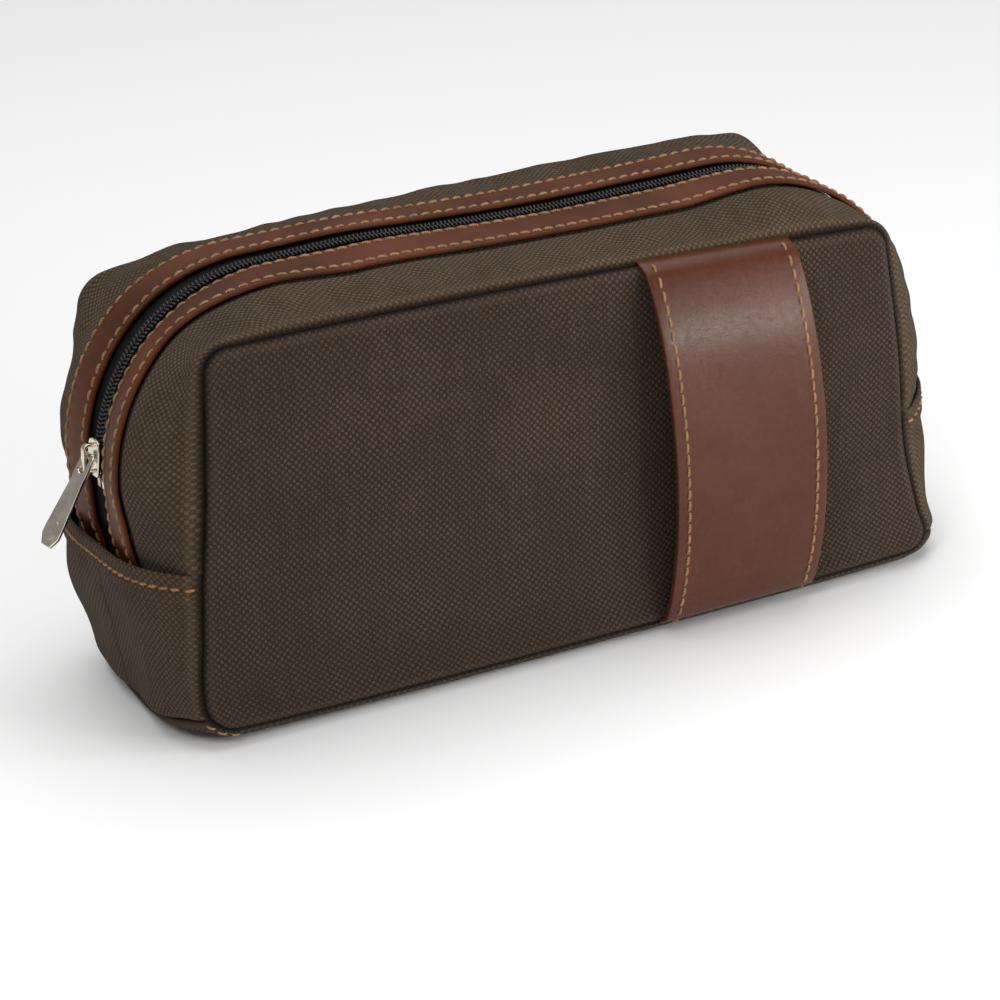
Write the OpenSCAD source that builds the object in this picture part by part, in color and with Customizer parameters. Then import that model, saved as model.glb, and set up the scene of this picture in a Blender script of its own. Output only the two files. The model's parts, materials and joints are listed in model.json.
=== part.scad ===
// Zipped canvas wash bag with leather trim.
// Front is -Y, length runs along X, +Z is up, and the origin is the middle of the underside.
// Three stiffened parts are sewn together: a base with two end panels, and a front and a
// back half that lean outward about their bottom seams once the zip is undone.

/* [Front and back panels] */
// Height of the panels' top seam above the table
seam_top = 134; // [130:1:134]
// Half width of a panel along its bottom seam
seam_half_bottom = 136; // [130:1:138]
// Half width of a panel along its top seam
seam_half_top = 124; // [118:0.5:126]
// Corner radius at the top of a panel
seam_top_r = 10; // [6:1:14]
// Corner radius at the bottom of a panel
seam_bottom_r = 12; // [8:1:16]
// Height of the panels' bottom seam above the table
seam_bottom = 2.6; // [2.6:0.1:5]
// Distance from the middle to the outer face of a panel
panel_y = 55; // [50:1:56]
// Thickness of a quilted canvas panel
panel_t = 2.2; // [1.5:0.1:3]

/* [Zip arch] */
// Half length of the bag at the zip
zip_half = 146; // [142:1:148]
// Height of the canvas at the zip
zip_top = 142; // [140:1:146]
// Radius that the zip turns through at each top corner
zip_r = 60; // [54:1:64]
// How squarely the top rounds over from the seams to the zip
crown = 2; // [2:0.1:4]
// Height at which the zip panels stop, just above the hems
zip_low = 63; // [62.5:0.5:66]
// Thickness of the canvas in the zip panels and the ends
canvas_t = 1.6; // [1:0.1:1.8]

/* [Leather] */
// Distance from the zip's centre line to the inner edge of a facing
facing_in = 7.5; // [6:0.5:9]
// Distance from the zip's centre line to the outer edge of a facing
facing_out = 23.5; // [20:0.5:28]
// Thickness of the leather
leather_t = 1.6; // [1.2:0.1:2]
// Left edge of the hand band
band_x0 = 26; // [0:1:40]
// Width of the hand band
band_w = 57; // [40:1:60]
// How far the hand band bows out from the front panel
band_bow = 14; // [11:1:16]
// Distance of a thread row from a leather edge
thread_in = 2.2; // [1.5:0.1:3]
// Thickness of the thread
thread_t = 0.7; // [0.5:0.1:0.9]

/* [Zip] */
// Width of one tape
tape_w = 14.4; // [12:0.1:14.6]
// Thickness of the tape
tape_t = 0.7; // [0.5:0.1:0.8]
// Depth of the tape's face below the canvas surface
tape_sunk = 1.9; // [1.5:0.1:2.2]
// Width of one coil row
coil_w = 2.5; // [2:0.1:3]
// Height of a coil row
coil_h = 2.4; // [2:0.1:2.6]
// Length of the slider along the zip
slider_len = 11; // [9:0.5:13]
// Width of the slider
slider_w = 8.6; // [8:0.1:10]
// Angle of the slider above the start of the corner
slider_angle = 6; // [5.6:0.1:9]
// Length of the pull tab from its pivot
pull_len = 30; // [24:0.5:30]
// Angle of the pull tab out from straight down
pull_angle = 36; // [20:1:80]

/* [Ends and base] */
// Half length of the bag at the hems
end_half = 151.5; // [151:0.5:156]
// Half length of the bag just above its base
end_low = 144; // [140:0.5:148]
// How squarely an end rounds over from its seams to its middle
end_crown = 2.7; // [2:0.1:4]
// Height of the hem at the middle of an end
hem_mid = 61; // [56:0.5:61]
// Height of the hem where it meets the seams
hem_side = 60; // [54:0.5:60]
// Radius of the bottom corner at the middle of an end
end_r = 10; // [8:1:14]
// Thickness of the base panel
base_t = 2.4; // [2:0.1:2.4]
// Thickness of the stiffening board
board_t = 1.8; // [1:0.1:1.8]

/* [Hidden] */

canvas_colour = [0.24, 0.19, 0.16];
lining_colour = [0.16, 0.14, 0.12];
leather_colour = [0.42, 0.21, 0.13];
thread_colour = [0.78, 0.55, 0.27];
black = [0.06, 0.06, 0.06];
metal = [0.7, 0.69, 0.64];
card = [0.45, 0.38, 0.3];

gap = 0.2;                               // air between layers that are sewn together
lining_t = 0.6;
seam_y = panel_y - panel_t - gap;        // where the zip panels and the ends meet a panel
seam_slope = (seam_half_bottom - seam_half_top) / (seam_top - seam_bottom);
canvas_in = 16;                          // inner edge of the canvas under a facing
zip_cx = zip_half - zip_r;               // centre of a top corner's arc
zip_cz = zip_top - zip_r;
tape_in = 0.8;                           // half the slit between the two tapes
coil_in = 0.6;                           // half the slit that the slider's post runs in
binding_w = 6.6;
binding_t = 1.2;
end_lining_y = seam_y - 1;
end_lining_in = -canvas_t - gap;

side_steps = 5;                          // grid steps up the side, round the corner and along the top
corner_steps = 14;
top_steps = 4;
blend_from = 86;                         // height on the seam that pairs with the start of the zip's arc
blend_to = 82;                           // distance along the seam that pairs with its end

function mix(a, b, t) = a + (b - a) * t;
function bulge(y, squareness = crown) = 1 - pow(min(1, abs(y) / seam_y), squareness);
function seam_half(z) = seam_half_bottom - (z - seam_bottom) * seam_slope;

// A point on the upper corner of the seam, t of the way from the side to the top, pushed out by d.
corner_cz = seam_top - seam_top_r;
corner_cx = seam_half(corner_cz) - seam_top_r;
corner_side = corner_cz - blend_from;
corner_arc = seam_top_r * PI / 2;
corner_top = corner_cx - blend_to;
function seam_corner(t, d) =
    let (s = t * (corner_side + corner_arc + corner_top))
    s < corner_side ? [seam_half(blend_from + s) + d, blend_from + s]
    : s < corner_side + corner_arc
    ? let (a = (s - corner_side) / corner_arc * 90)
      [corner_cx + (seam_top_r + d) * cos(a), corner_cz + (seam_top_r + d) * sin(a)]
    : [corner_cx - (s - corner_side - corner_arc), seam_top + d];

// Stations from a zip end up to the middle of the top: [seam point, zip point] in X and Z.
function half_stations(d) = concat(
    [for (i = [0:side_steps - 1]) let (t = i / side_steps)
        [[seam_half(mix(zip_low, blend_from, t)) + d, mix(zip_low, blend_from, t)],
         [zip_half + d, mix(zip_low, zip_cz, t)]]],
    [for (i = [0:corner_steps - 1]) let (t = i / corner_steps)
        [seam_corner(t, d),
         [zip_cx + (zip_r + d) * cos(90 * t), zip_cz + (zip_r + d) * sin(90 * t)]]],
    [for (i = [0:top_steps - 1]) let (t = i / top_steps)
        [[mix(blend_to, 0, t), seam_top + d], [mix(zip_cx, 0, t), zip_top + d]]]
);
function mirrored(p) = [for (q = p) [-q[0], q[1]]];
function reversed(list) = [for (i = [len(list) - 1:-1:0]) list[i]];
function stations(d) =
    let (half = half_stations(d), middle = [[[0, seam_top + d], [0, zip_top + d]]])
    concat([for (s = half) mirrored(s)], middle, reversed(half));

// Stations down an end from the hem (w = 0) to the base (w = 1); a negative w goes above the hem.
end_turn = 0.75;                         // share of the way down where the bottom corner starts
function end_mid_pt(w, d) =
    w < end_turn ? [mix(end_half, end_low, w / end_turn) + d, mix(hem_mid, end_r, w / end_turn)]
    : let (a = (w - end_turn) / (1 - end_turn) * 90)
      [end_low - end_r + (end_r + d) * cos(a), end_r - (end_r + d) * sin(a)];
low_cz = seam_bottom + seam_bottom_r;
low_cx = seam_half(low_cz) - seam_bottom_r;
function end_seam_pt(w, d) =
    w < end_turn ? let (z = mix(hem_side, low_cz, w / end_turn)) [seam_half(z) + d, z]
    : let (a = (w - end_turn) / (1 - end_turn) * 90)
      [low_cx + (seam_bottom_r + d) * cos(a), low_cz - (seam_bottom_r + d) * sin(a)];

// A closed sheet between an outer and an inner grid of points, rows by columns.
module sheet(outer, inner) {
    rows = len(outer);
    cols = len(outer[0]);
    function at(layer, r, c) = (layer * rows + r) * cols + c;
    points = [for (grid = [outer, inner]) for (row = grid) for (p = row) p];
    skin = [for (r = [0:rows - 2]) for (c = [0:cols - 2]) each [
        [at(0, r, c), at(0, r, c + 1), at(0, r + 1, c + 1), at(0, r + 1, c)],
        [at(1, r, c), at(1, r + 1, c), at(1, r + 1, c + 1), at(1, r, c + 1)]]];
    row_edges = [for (c = [0:cols - 2]) each [
        [at(0, 0, c), at(1, 0, c), at(1, 0, c + 1), at(0, 0, c + 1)],
        [at(0, rows - 1, c), at(0, rows - 1, c + 1), at(1, rows - 1, c + 1), at(1, rows - 1, c)]]];
    col_edges = [for (r = [0:rows - 2]) each [
        [at(0, r, 0), at(0, r + 1, 0), at(1, r + 1, 0), at(1, r, 0)],
        [at(0, r, cols - 1), at(1, r, cols - 1), at(1, r + 1, cols - 1), at(0, r + 1, cols - 1)]]];
    quads = concat(skin, row_edges, col_edges);
    polyhedron(points, [for (q = quads) each [[q[0], q[1], q[2]], [q[0], q[2], q[3]]]]);
}

// Grid of points over the zip arch at offset d, between y0 and y1.
function arch_grid(y0, y1, cols, d) = [for (s = stations(d)) [for (c = [0:cols])
    let (y = mix(y0, y1, c / cols), f = bulge(y))
    [mix(s[0][0], s[1][0], f), y, mix(s[0][1], s[1][1], f)]]];

// A strip of the zip arch on the front side, from offset d0 out to d1.
module arch_strip(y_out, y_in, cols, d0, d1) {
    sheet(arch_grid(-y_out, -y_in, cols, d1), arch_grid(-y_out, -y_in, cols, d0));
}

// Grid over the right-hand end, from w0 down to w1, at offset d.
function end_grid(w0, w1, rows, half_y, cols, d) = [for (r = [0:rows]) [for (c = [0:cols])
    let (w = mix(w0, w1, r / rows), y = mix(-half_y, half_y, c / cols),
         f = bulge(y, end_crown), s = end_seam_pt(w, d), m = end_mid_pt(w, d))
    [mix(s[0], m[0], f), y, mix(s[1], m[1], f)]]];

module end_sheet(w0, w1, rows, half_y, cols, d0, d1) {
    sheet(end_grid(w0, w1, rows, half_y, cols, d0), end_grid(w0, w1, rows, half_y, cols, d1));
}

// Outline of a panel in X and Z, grown by d.
function corner_points(cx, cz, r, from) =
    [for (i = [0:6]) let (a = from + 15 * i) [cx + r * cos(a), cz + r * sin(a)]];
module seam_outline(d) {
    polygon(concat(
        corner_points(corner_cx, corner_cz, seam_top_r + d, 0),
        corner_points(-corner_cx, corner_cz, seam_top_r + d, 90),
        corner_points(-low_cx, low_cz, seam_bottom_r + d, 180),
        corner_points(low_cx, low_cz, seam_bottom_r + d, 270)));
}

// Extrudes an X-Z shape from y0 to y1.
module along_y(y0, y1) {
    translate([0, y1, 0]) rotate([90, 0, 0]) linear_extrude(y1 - y0) children();
}

// Band between two offsets of the zip's own path, down to z_left and z_right.
arc_steps = 30;
function zip_line(d, z_left, z_right) = concat(
    [[-zip_half - d, z_left]],
    [for (i = [0:arc_steps]) let (a = 180 - 90 * i / arc_steps)
        [-zip_cx + (zip_r + d) * cos(a), zip_cz + (zip_r + d) * sin(a)]],
    [for (i = [0:arc_steps]) let (a = 90 - 90 * i / arc_steps)
        [zip_cx + (zip_r + d) * cos(a), zip_cz + (zip_r + d) * sin(a)]],
    [[zip_half + d, z_right]]);
module zip_rail(y0, y1, d0, d1, z_left = zip_low, z_right = zip_low) {
    along_y(y0, y1)
        polygon(concat(zip_line(d1, z_left, z_right), reversed(zip_line(d0, z_left, z_right))));
}

module back_side() {
    mirror([0, 1, 0]) children();
}
module left_side() {
    mirror([1, 0, 0]) children();
}

// ---- Base and ends ----

// Plan of the base at inset d, following the bottom edges of the end panels.
module base_plan(d) {
    side = [for (i = [-8:8]) let (y = i / 8 * (seam_y - d))
        [mix(low_cx, end_low - end_r, bulge(y, end_crown)) - gap - d, y]];
    polygon(concat(side, [for (p = reversed(side)) [-p[0], p[1]]]));
}

module base_panel() {
    color(canvas_colour) linear_extrude(base_t) base_plan(0);
}
board_z = base_t + gap;
module base_board() {
    color(card) translate([0, 0, board_z]) linear_extrude(board_t) base_plan(4);
}
module base_lining() {
    color(lining_colour) translate([0, 0, board_z + board_t + gap])
        linear_extrude(lining_t) base_plan(5);
}

module end_panel() {
    color(canvas_colour) end_sheet(0, 1, 16, seam_y, 12, 0, -canvas_t);
}
module end_lining() {
    color(lining_colour)
        end_sheet(0.03, 0.85, 8, end_lining_y, 8, end_lining_in, end_lining_in - lining_t);
}
module hem_stitching() {
    top = 0.08;                          // shares of the way down the end
    bottom = top + 0.015;
    color(thread_colour) end_sheet(top, bottom, 1, seam_y - 1, 24, gap + thread_t, gap);
}

// ---- Front and back halves ----

module panel() {
    color(canvas_colour) along_y(-panel_y, -panel_y + panel_t) seam_outline(0);
}
lining_y = panel_y - panel_t - gap;
module panel_lining() {
    color(lining_colour) along_y(-lining_y, -lining_y + lining_t) seam_outline(-3);
}
binding_y = lining_y - lining_t - gap;
module seam_binding() {
    color(black) along_y(-binding_y, -binding_y + binding_w) difference() {
        seam_outline(-3);
        seam_outline(-3 - binding_t);
    }
}
module zip_gusset() {
    color(canvas_colour) arch_strip(seam_y, canvas_in, 6, -canvas_t, 0);
}
module gusset_lining() {
    out = -canvas_t - gap;
    color(lining_colour) arch_strip(seam_y, canvas_in + 0.5, 4, out - lining_t, out);
}
module zip_facing() {
    color(leather_colour) arch_strip(facing_out, facing_in, 3, gap, gap + leather_t);
}
thread_low = gap + leather_t + 0.1;
thread_proud = 0.5;                      // how far a thread row stands out of the leather
module facing_stitching(y) {
    color(thread_colour)
        arch_strip(y + thread_t / 2, y - thread_t / 2, 1, thread_low, thread_low + thread_proud);
}
module zip_tape() {
    color(black) zip_rail(-tape_in - tape_w, -tape_in, -tape_sunk - tape_t, -tape_sunk);
}
coil_low = -tape_sunk + 0.02;
coil_left = zip_cz - 1;                  // the coil starts under the parked slider
coil_right = zip_low + 7;
module zip_coil() {
    color(black) zip_rail(-coil_in - coil_w, -coil_in, coil_low, coil_low + coil_h,
                          coil_left, coil_right);
}
stop_h = 3;                              // a stop's size along the zip, outward and across it
stop_t = 2.2;
stop_w = 2.4;
stop_out = 3.2;                          // distance from the zip's middle to a stop's outer edge
module top_stop() {
    color(metal) translate([-zip_half - coil_low - stop_t, -stop_out, coil_left - gap - stop_h])
        cube([stop_t, stop_w, stop_h]);
}
module zip_bottom_stop() {
    color(metal) translate([zip_half + coil_low, -stop_out, coil_right - gap - stop_h])
        cube([stop_t, 2 * stop_out, stop_h]);
}

// ---- Hand band: an arc of leather held by the top and bottom seams ----

band_z0 = seam_bottom + 3.4;
band_z1 = seam_top - 3;
band_half = (band_z1 - band_z0) / 2;
band_r = (band_half * band_half + band_bow * band_bow) / (2 * band_bow);
band_cy = -panel_y - gap - band_bow + band_r;
backing_t = 1.3;

// Part of the bowed sheet between two radii, from x0 to x1, in front of the panel.
module band_arc(x0, x1, r0, r1) {
    intersection() {
        translate([x0, band_cy, (band_z0 + band_z1) / 2]) rotate([0, 90, 0]) difference() {
            cylinder(h = x1 - x0, r = r1, $fn = 240);
            translate([0, 0, -1]) cylinder(h = x1 - x0 + 2, r = r0, $fn = 240);
        }
        translate([x0 - 1, -panel_y - gap - 2 * band_bow, 0])
            cube([x1 - x0 + 2, 2 * band_bow, seam_top]);
    }
}
module leather_band() {
    color(leather_colour) band_arc(band_x0, band_x0 + band_w, band_r - leather_t, band_r);
}
module band_backing() {
    out = band_r - leather_t - 0.1;
    color(leather_colour) band_arc(band_x0 + 0.3, band_x0 + band_w - 0.3, out - backing_t, out);
}
band_thread_in = 4;
module band_stitching(x) {
    low = band_r + 0.1;
    color(thread_colour) band_arc(x - thread_t / 2, x + thread_t / 2, low, low + thread_proud);
}

// ---- Slider and pull ----

plate_t = 1.4;
under_gap = 0.35;                        // running clearance below the tape
over_gap = 0.7;                          // running clearance above the coil
plate_low = -tape_sunk - tape_t - under_gap;
plate_high = coil_low + coil_h + over_gap;
slider_span = slider_len / zip_r * 180 / PI;
post_half = 0.4;

// A curved plate that follows the zip's corner between two offsets, over an angle range.
module corner_plate(w, d0, d1, a0, a1) {
    translate([-zip_cx, w / 2, zip_cz]) rotate([90, 0, 0])
        rotate([0, 0, 180 - a1]) rotate_extrude(angle = a1 - a0, $fn = 180)
            translate([zip_r + d0, 0]) square([d1 - d0, w]);
}
module slider_body() {
    a0 = slider_angle - slider_span / 2;
    a1 = slider_angle + slider_span / 2;
    post_bite = plate_t / 2;             // how far the post runs into each plate
    color(metal) union() {
        corner_plate(slider_w, plate_low - plate_t, plate_low, a0, a1);
        corner_plate(slider_w, plate_high, plate_high + plate_t, a0, a1);
        corner_plate(2 * post_half, plate_low - post_bite, plate_high + post_bite,
                     a0 + slider_span / 8, a0 + slider_span / 2);
    }
}

bridge_w = 2.2;
bridge_bar = 1.1;
bridge_hole = 2.6;
bridge_len = 8.4;
bridge_foot = plate_high + plate_t + 0.05;
bridge_top = bridge_foot + bridge_hole;  // inner face of the bar that the pull hangs on
pivot_r = zip_r + bridge_foot + bridge_hole / 2 + 0.15;
pivot_bar_r = 0.8;
// Local frame of the slider: X points out of the bag, Z runs up along the zip.
module at_slider() {
    translate([-zip_cx, 0, zip_cz]) rotate([0, slider_angle, 0]) mirror([1, 0, 0]) children();
}
module slider_bridge() {
    color(metal) at_slider() difference() {
        translate([zip_r, bridge_w / 2, 0]) rotate([90, 0, 0]) linear_extrude(bridge_w)
            difference() {
                polygon([[0, bridge_len / 2], [bridge_top, bridge_len / 2],
                         [bridge_top + bridge_bar, bridge_len / 2 - bridge_bar],
                         [bridge_top + bridge_bar, -bridge_len / 2 + bridge_bar],
                         [bridge_top, -bridge_len / 2], [0, -bridge_len / 2]]);
                translate([0, -bridge_len / 2 + bridge_bar])
                    square([bridge_top, bridge_len - 2 * bridge_bar]);
            }
        translate([0, bridge_w, 0]) rotate([90, 0, 0])
            cylinder(h = 2 * bridge_w, r = zip_r + bridge_foot, $fn = 240);
    }
}

pull_t = 1.4;
pull_w = 8.2;
tip_r = pull_w / 2;
eye_w = 6.8;                             // width across the eye's arms
eye_hole = 3.2;                          // width between the arms
eye_len = 7;                             // length of the hole that the bridge passes through
eye_top = 1;                             // the hole starts this far above the pivot
pad_r = 2.3;                             // oval thumb pad sunk in each face near the tip
pad_z = [4.2, 7];
pad_depth = 0.35;

// Outline of the tab, hanging straight down from its pivot.
module pull_outline() {
    difference() {
        union() {
            polygon([[-eye_w / 2, 0], [eye_w / 2, 0],
                     [tip_r, -pull_len + tip_r], [-tip_r, -pull_len + tip_r]]);
            translate([0, -pull_len + tip_r]) circle(r = tip_r, $fn = 48);
        }
        translate([-eye_hole / 2, eye_top - eye_len]) square([eye_hole, eye_len]);
    }
}
module pull_pad() {
    translate([pull_t / 2 - pad_depth, 0, 0]) rotate([90, 0, 90]) linear_extrude(pull_t)
        for (z = pad_z) translate([0, z - pull_len]) circle(r = pad_r, $fn = 40);
}
module pull_tab() {
    color(metal) translate([-zip_cx - pivot_r * cos(slider_angle), 0,
                            zip_cz + pivot_r * sin(slider_angle)])
        rotate([0, pull_angle, 0]) union() {
            translate([0, eye_w / 2, 0]) rotate([90, 0, 0])
                cylinder(h = eye_w, r = pivot_bar_r, $fn = 32);
            difference() {
                rotate([90, 0, 90]) translate([0, 0, -pull_t / 2]) linear_extrude(pull_t)
                    pull_outline();
                for (side = [0, 180]) rotate([0, 0, side]) pull_pad();
            }
        }
}

base_panel();
base_board();
base_lining();
left_side() end_panel();  // end_panel_left
end_panel();  // end_panel_right
left_side() end_lining();  // end_lining_left
end_lining();  // end_lining_right
left_side() hem_stitching();  // hem_stitching_left
hem_stitching();  // hem_stitching_right

panel();  // front_panel
panel_lining();  // front_lining
seam_binding();  // front_seam_binding
zip_gusset();  // front_zip_gusset
gusset_lining();  // front_gusset_lining
zip_facing();  // front_zip_facing
facing_stitching(facing_out - thread_in);  // front_facing_stitching_outer
facing_stitching(facing_in + thread_in);  // front_facing_stitching_inner
zip_tape();  // front_zip_tape
zip_coil();  // front_zip_coil
top_stop();  // front_top_stop
zip_bottom_stop();
leather_band();
band_backing();
band_stitching(band_x0 + band_thread_in);  // band_stitching_left
band_stitching(band_x0 + band_w - band_thread_in);  // band_stitching_right

back_side() panel();  // back_panel
back_side() panel_lining();  // back_lining
back_side() seam_binding();  // back_seam_binding
back_side() zip_gusset();  // back_zip_gusset
back_side() gusset_lining();  // back_gusset_lining
back_side() zip_facing();  // back_zip_facing
back_side() facing_stitching(facing_out - thread_in);  // back_facing_stitching_outer
back_side() facing_stitching(facing_in + thread_in);  // back_facing_stitching_inner
back_side() zip_tape();  // back_zip_tape
back_side() zip_coil();  // back_zip_coil
back_side() top_stop();  // back_top_stop

slider_body();
slider_bridge();
pull_tab();
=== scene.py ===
"""Looks of the zipped canvas wash bag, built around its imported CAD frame.

Lengths in this script are in millimetres until a mesh is made. X runs along the bag, the front is
-Y, and Z is up. Every soft piece is swept over the same curves as the CAD: the seam round a panel,
the line of the zip, and the bottom of an end. settle() then sags the whole sewn shape.
"""

import json
import math

import bpy
import numpy as np
from mathutils import Matrix, Vector, kdtree


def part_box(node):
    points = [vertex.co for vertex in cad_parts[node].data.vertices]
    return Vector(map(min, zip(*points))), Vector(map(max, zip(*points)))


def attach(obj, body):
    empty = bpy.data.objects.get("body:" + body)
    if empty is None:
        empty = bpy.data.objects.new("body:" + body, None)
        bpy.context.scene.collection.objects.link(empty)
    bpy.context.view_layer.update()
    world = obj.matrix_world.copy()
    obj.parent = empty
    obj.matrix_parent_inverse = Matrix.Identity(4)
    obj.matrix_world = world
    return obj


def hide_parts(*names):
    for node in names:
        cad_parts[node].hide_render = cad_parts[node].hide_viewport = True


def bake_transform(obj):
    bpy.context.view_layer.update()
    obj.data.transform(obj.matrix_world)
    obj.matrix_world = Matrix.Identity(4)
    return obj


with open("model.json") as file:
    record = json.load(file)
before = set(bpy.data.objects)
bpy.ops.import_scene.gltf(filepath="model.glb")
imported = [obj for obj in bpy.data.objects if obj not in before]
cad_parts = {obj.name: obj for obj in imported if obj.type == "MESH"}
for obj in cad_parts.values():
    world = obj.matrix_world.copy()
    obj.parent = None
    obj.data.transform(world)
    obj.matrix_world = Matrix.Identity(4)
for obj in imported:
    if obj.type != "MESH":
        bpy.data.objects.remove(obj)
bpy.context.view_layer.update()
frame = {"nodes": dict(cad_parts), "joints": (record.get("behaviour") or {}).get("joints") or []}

MM = 0.001


def box_mm(node):
    low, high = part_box(node)
    return np.array(low) / MM, np.array(high) / MM


# ---- Sizes, in millimetres -------------------------------------------------------------------

PANEL_LOW, PANEL_HIGH = box_mm("front_panel")
TAPE_HIGH = box_mm("front_zip_tape")[1]
END_HIGH = box_mm("end_panel_right")[1]
BAND_LOW, BAND_HIGH = box_mm("leather_band")
JOINTS = {joint["name"]: joint for joint in frame["joints"]}
CORNER = np.array(JOINTS["slider_travel"]["pos_m"]) / MM
PIVOT = np.array(JOINTS["pull_swing"]["pos_m"]) / MM

PANEL_Y = -PANEL_LOW[1]
SEAM_TOP = PANEL_HIGH[2]
SEAM_BOTTOM = PANEL_LOW[2]
SEAM_HALF_BOTTOM = 136.0
SEAM_HALF_TOP = 124.0
SEAM_TOP_R = 10.0
SEAM_BOTTOM_R = 12.0
TOP_CROWN_FRONT = 1.25        # squareness of the top's front, of its back, and of both corners
TOP_CROWN_BACK = 2.6
CORNER_CROWN = 4.2
CAD_TAPE_SUNK = 1.9           # depth of the CAD's tape below the line of the zip
ZIP_HALF = TAPE_HIGH[0] + CAD_TAPE_SUNK
ZIP_CX = -CORNER[0]
ZIP_CZ = CORNER[2]
ZIP_R = ZIP_HALF - ZIP_CX
END_HALF = END_HIGH[0]
END_LOW_LEFT = 146.0          # half length just above the base, on each side
END_LOW_RIGHT = 149.0
END_R = 10.0
END_TURN = 0.75               # share of the way down an end where its bottom corner starts
HEM_MID = END_HIGH[2]
HEM_SIDE = HEM_MID - 1.0
END_LENGTH = (HEM_MID - END_R) / END_TURN
SEAM_Y = END_HIGH[1]
FACING_IN = 7.0               # from the zip's middle to a facing's inner edge
FACING_W = 16.5
FACING_LOW = 0.25             # height of a facing's underside over the canvas
LEATHER_T = 1.6
CANVAS_T = 1.4
LINING_T = 0.5
TUCK = 14.0                   # how far the zip panels run down inside the end panels
GROOVE = 2.3                  # depth of the crease along a seam
ROLL = 2.4                    # distance from a seam where the canvas starts to turn into it
ALLOWANCE = 2.4               # how far the turned-in edges run on inside
CORNER_LEN = ZIP_R * math.pi / 2
TOP_END = ZIP_CX              # zip length from the middle to the start of a corner
SIDE_START = TOP_END + CORNER_LEN
HEM_AT = SIDE_START + ZIP_CZ - HEM_MID          # zip length at which it passes the hem
ZIP_END = HEM_AT + TUCK
BLEND_FROM = 86.0             # height on the seam that pairs with the zip's height ZIP_CZ
BLEND_TO = 82.0               # distance along the seam that pairs with TOP_END
TAPE_DROP = 1.1               # depth of the zip tape below the canvas surface
TAPE_T = 0.7
STITCH_PITCH = 4.4
STITCH_LEAN = 0.16            # slant of a stitch across its row
SIDES = (("front", -1), ("back", 1))
ENDS = (("left", -1), ("right", 1))
HEART = np.array([0, 0, 60.0])          # a point inside the bag


def mix(a, b, t):
    return a + (b - a) * t


def smooth(t):
    t = np.clip(t, 0, 1)
    return t * t * (3 - 2 * t)


def hump(x, centre, spread):
    return np.exp(-(((x - centre) / spread) ** 2))


def bulge(y, squareness):
    return 1 - np.clip(np.abs(y) / SEAM_Y, 0, 1) ** squareness

def stacked(*parts):
    """Points from arrays of their coordinates, which are broadcast together."""
    return np.stack(np.broadcast_arrays(*parts), -1)


# ---- How the soft bag sits ----------------------------------------------------------------------

def zip_lift(x):
    """Height that the middle of the top gains; none round the corner that the slider runs on."""
    return 0.8 * hump(x, -52, 22) - 2.8 * smooth((x + 60) / 90)


def seam_lift(along, back):
    """Height that a top seam gains at -1 (left) to 1 (right): the bag is twisted and slack."""
    return np.where(back, 4.6 + 2.2 * along - 3.9 * along ** 2, -0.6 - 4.3 * along - 2.2 * along ** 2)


def seam_shift(x, z, back):
    """How far along X a seam moves at height z; the shape leans left and its corners fill out."""
    left = -4.3 * smooth(z / 30) - 1.5 * hump(z, 52, 20)
    left_back = -2.4 * smooth(z / 30) - 1.2 * hump(z, 72, 25) - 2.4 * smooth((z - 100) / 22)
    right = -1.0 - 3.0 * hump(z, 48, 25) + 4.0 * (1 - smooth(z / 22))
    right_back = right + 4.5 * smooth((z - 90) / 35)
    at = smooth(x / 220 + 0.5)
    return np.where(back, mix(left_back, right_back, at), mix(left, right, at))


def settle(p):
    """Moves points of the sewn shape, shape (..., 3), to where the soft bag really has them."""
    x, y, z = p[..., 0], p[..., 1], p[..., 2]
    along = np.clip(x / SEAM_HALF_TOP, -1.1, 1.1)
    edge = np.clip(y / PANEL_Y, -1.1, 1.1) ** 2
    back = y > 0
    high = smooth(z / SEAM_TOP)
    lift = high * (zip_lift(x) * (1 - np.clip(edge, 0, 1)) + seam_lift(along, back) * edge)
    lift = lift + 1.4 * along ** 4 * (1 - smooth(z / 30)) * edge
    depth = np.where(back, 6.0 * hump(z, 62, 38) - 1.0 - 3.5 * high * smooth(0.5 + along / 2), 3.0) * edge
    skew = 0.09 * (y + 12) * (1 - smooth(z / 50)) * smooth(-x / 130)
    shift = seam_shift(x, z, back) * edge + skew
    return stacked(x + shift, y + depth, z + lift)


class Ripples:
    """Smooth seeded noise from about -1 to 1: a sum of sine waves with lengths around a given one."""

    def __init__(self, seed, length, waves=14):
        rng = np.random.default_rng(seed)
        direction = unit(rng.normal(size=(waves, 3)))
        size = 2 * math.pi / (length * rng.uniform(0.6, 1.6, waves))
        self.k = direction * size[:, None]
        self.phase = rng.uniform(0, 2 * math.pi, waves)

    def __call__(self, p):
        return np.sin(p @ self.k.T + self.phase).sum(-1) / math.sqrt(len(self.phase))


# ---- Curves of the bag --------------------------------------------------------------------------

SEAM_SLOPE = (SEAM_HALF_BOTTOM - SEAM_HALF_TOP) / (SEAM_TOP - SEAM_BOTTOM)


def seam_half(z):
    return SEAM_HALF_BOTTOM - (z - SEAM_BOTTOM) * SEAM_SLOPE


CORNER_CZ = SEAM_TOP - SEAM_TOP_R
CORNER_CX = seam_half(CORNER_CZ) - SEAM_TOP_R
LOW_CZ = SEAM_BOTTOM + SEAM_BOTTOM_R
LOW_CX = seam_half(LOW_CZ) - SEAM_BOTTOM_R


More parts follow.
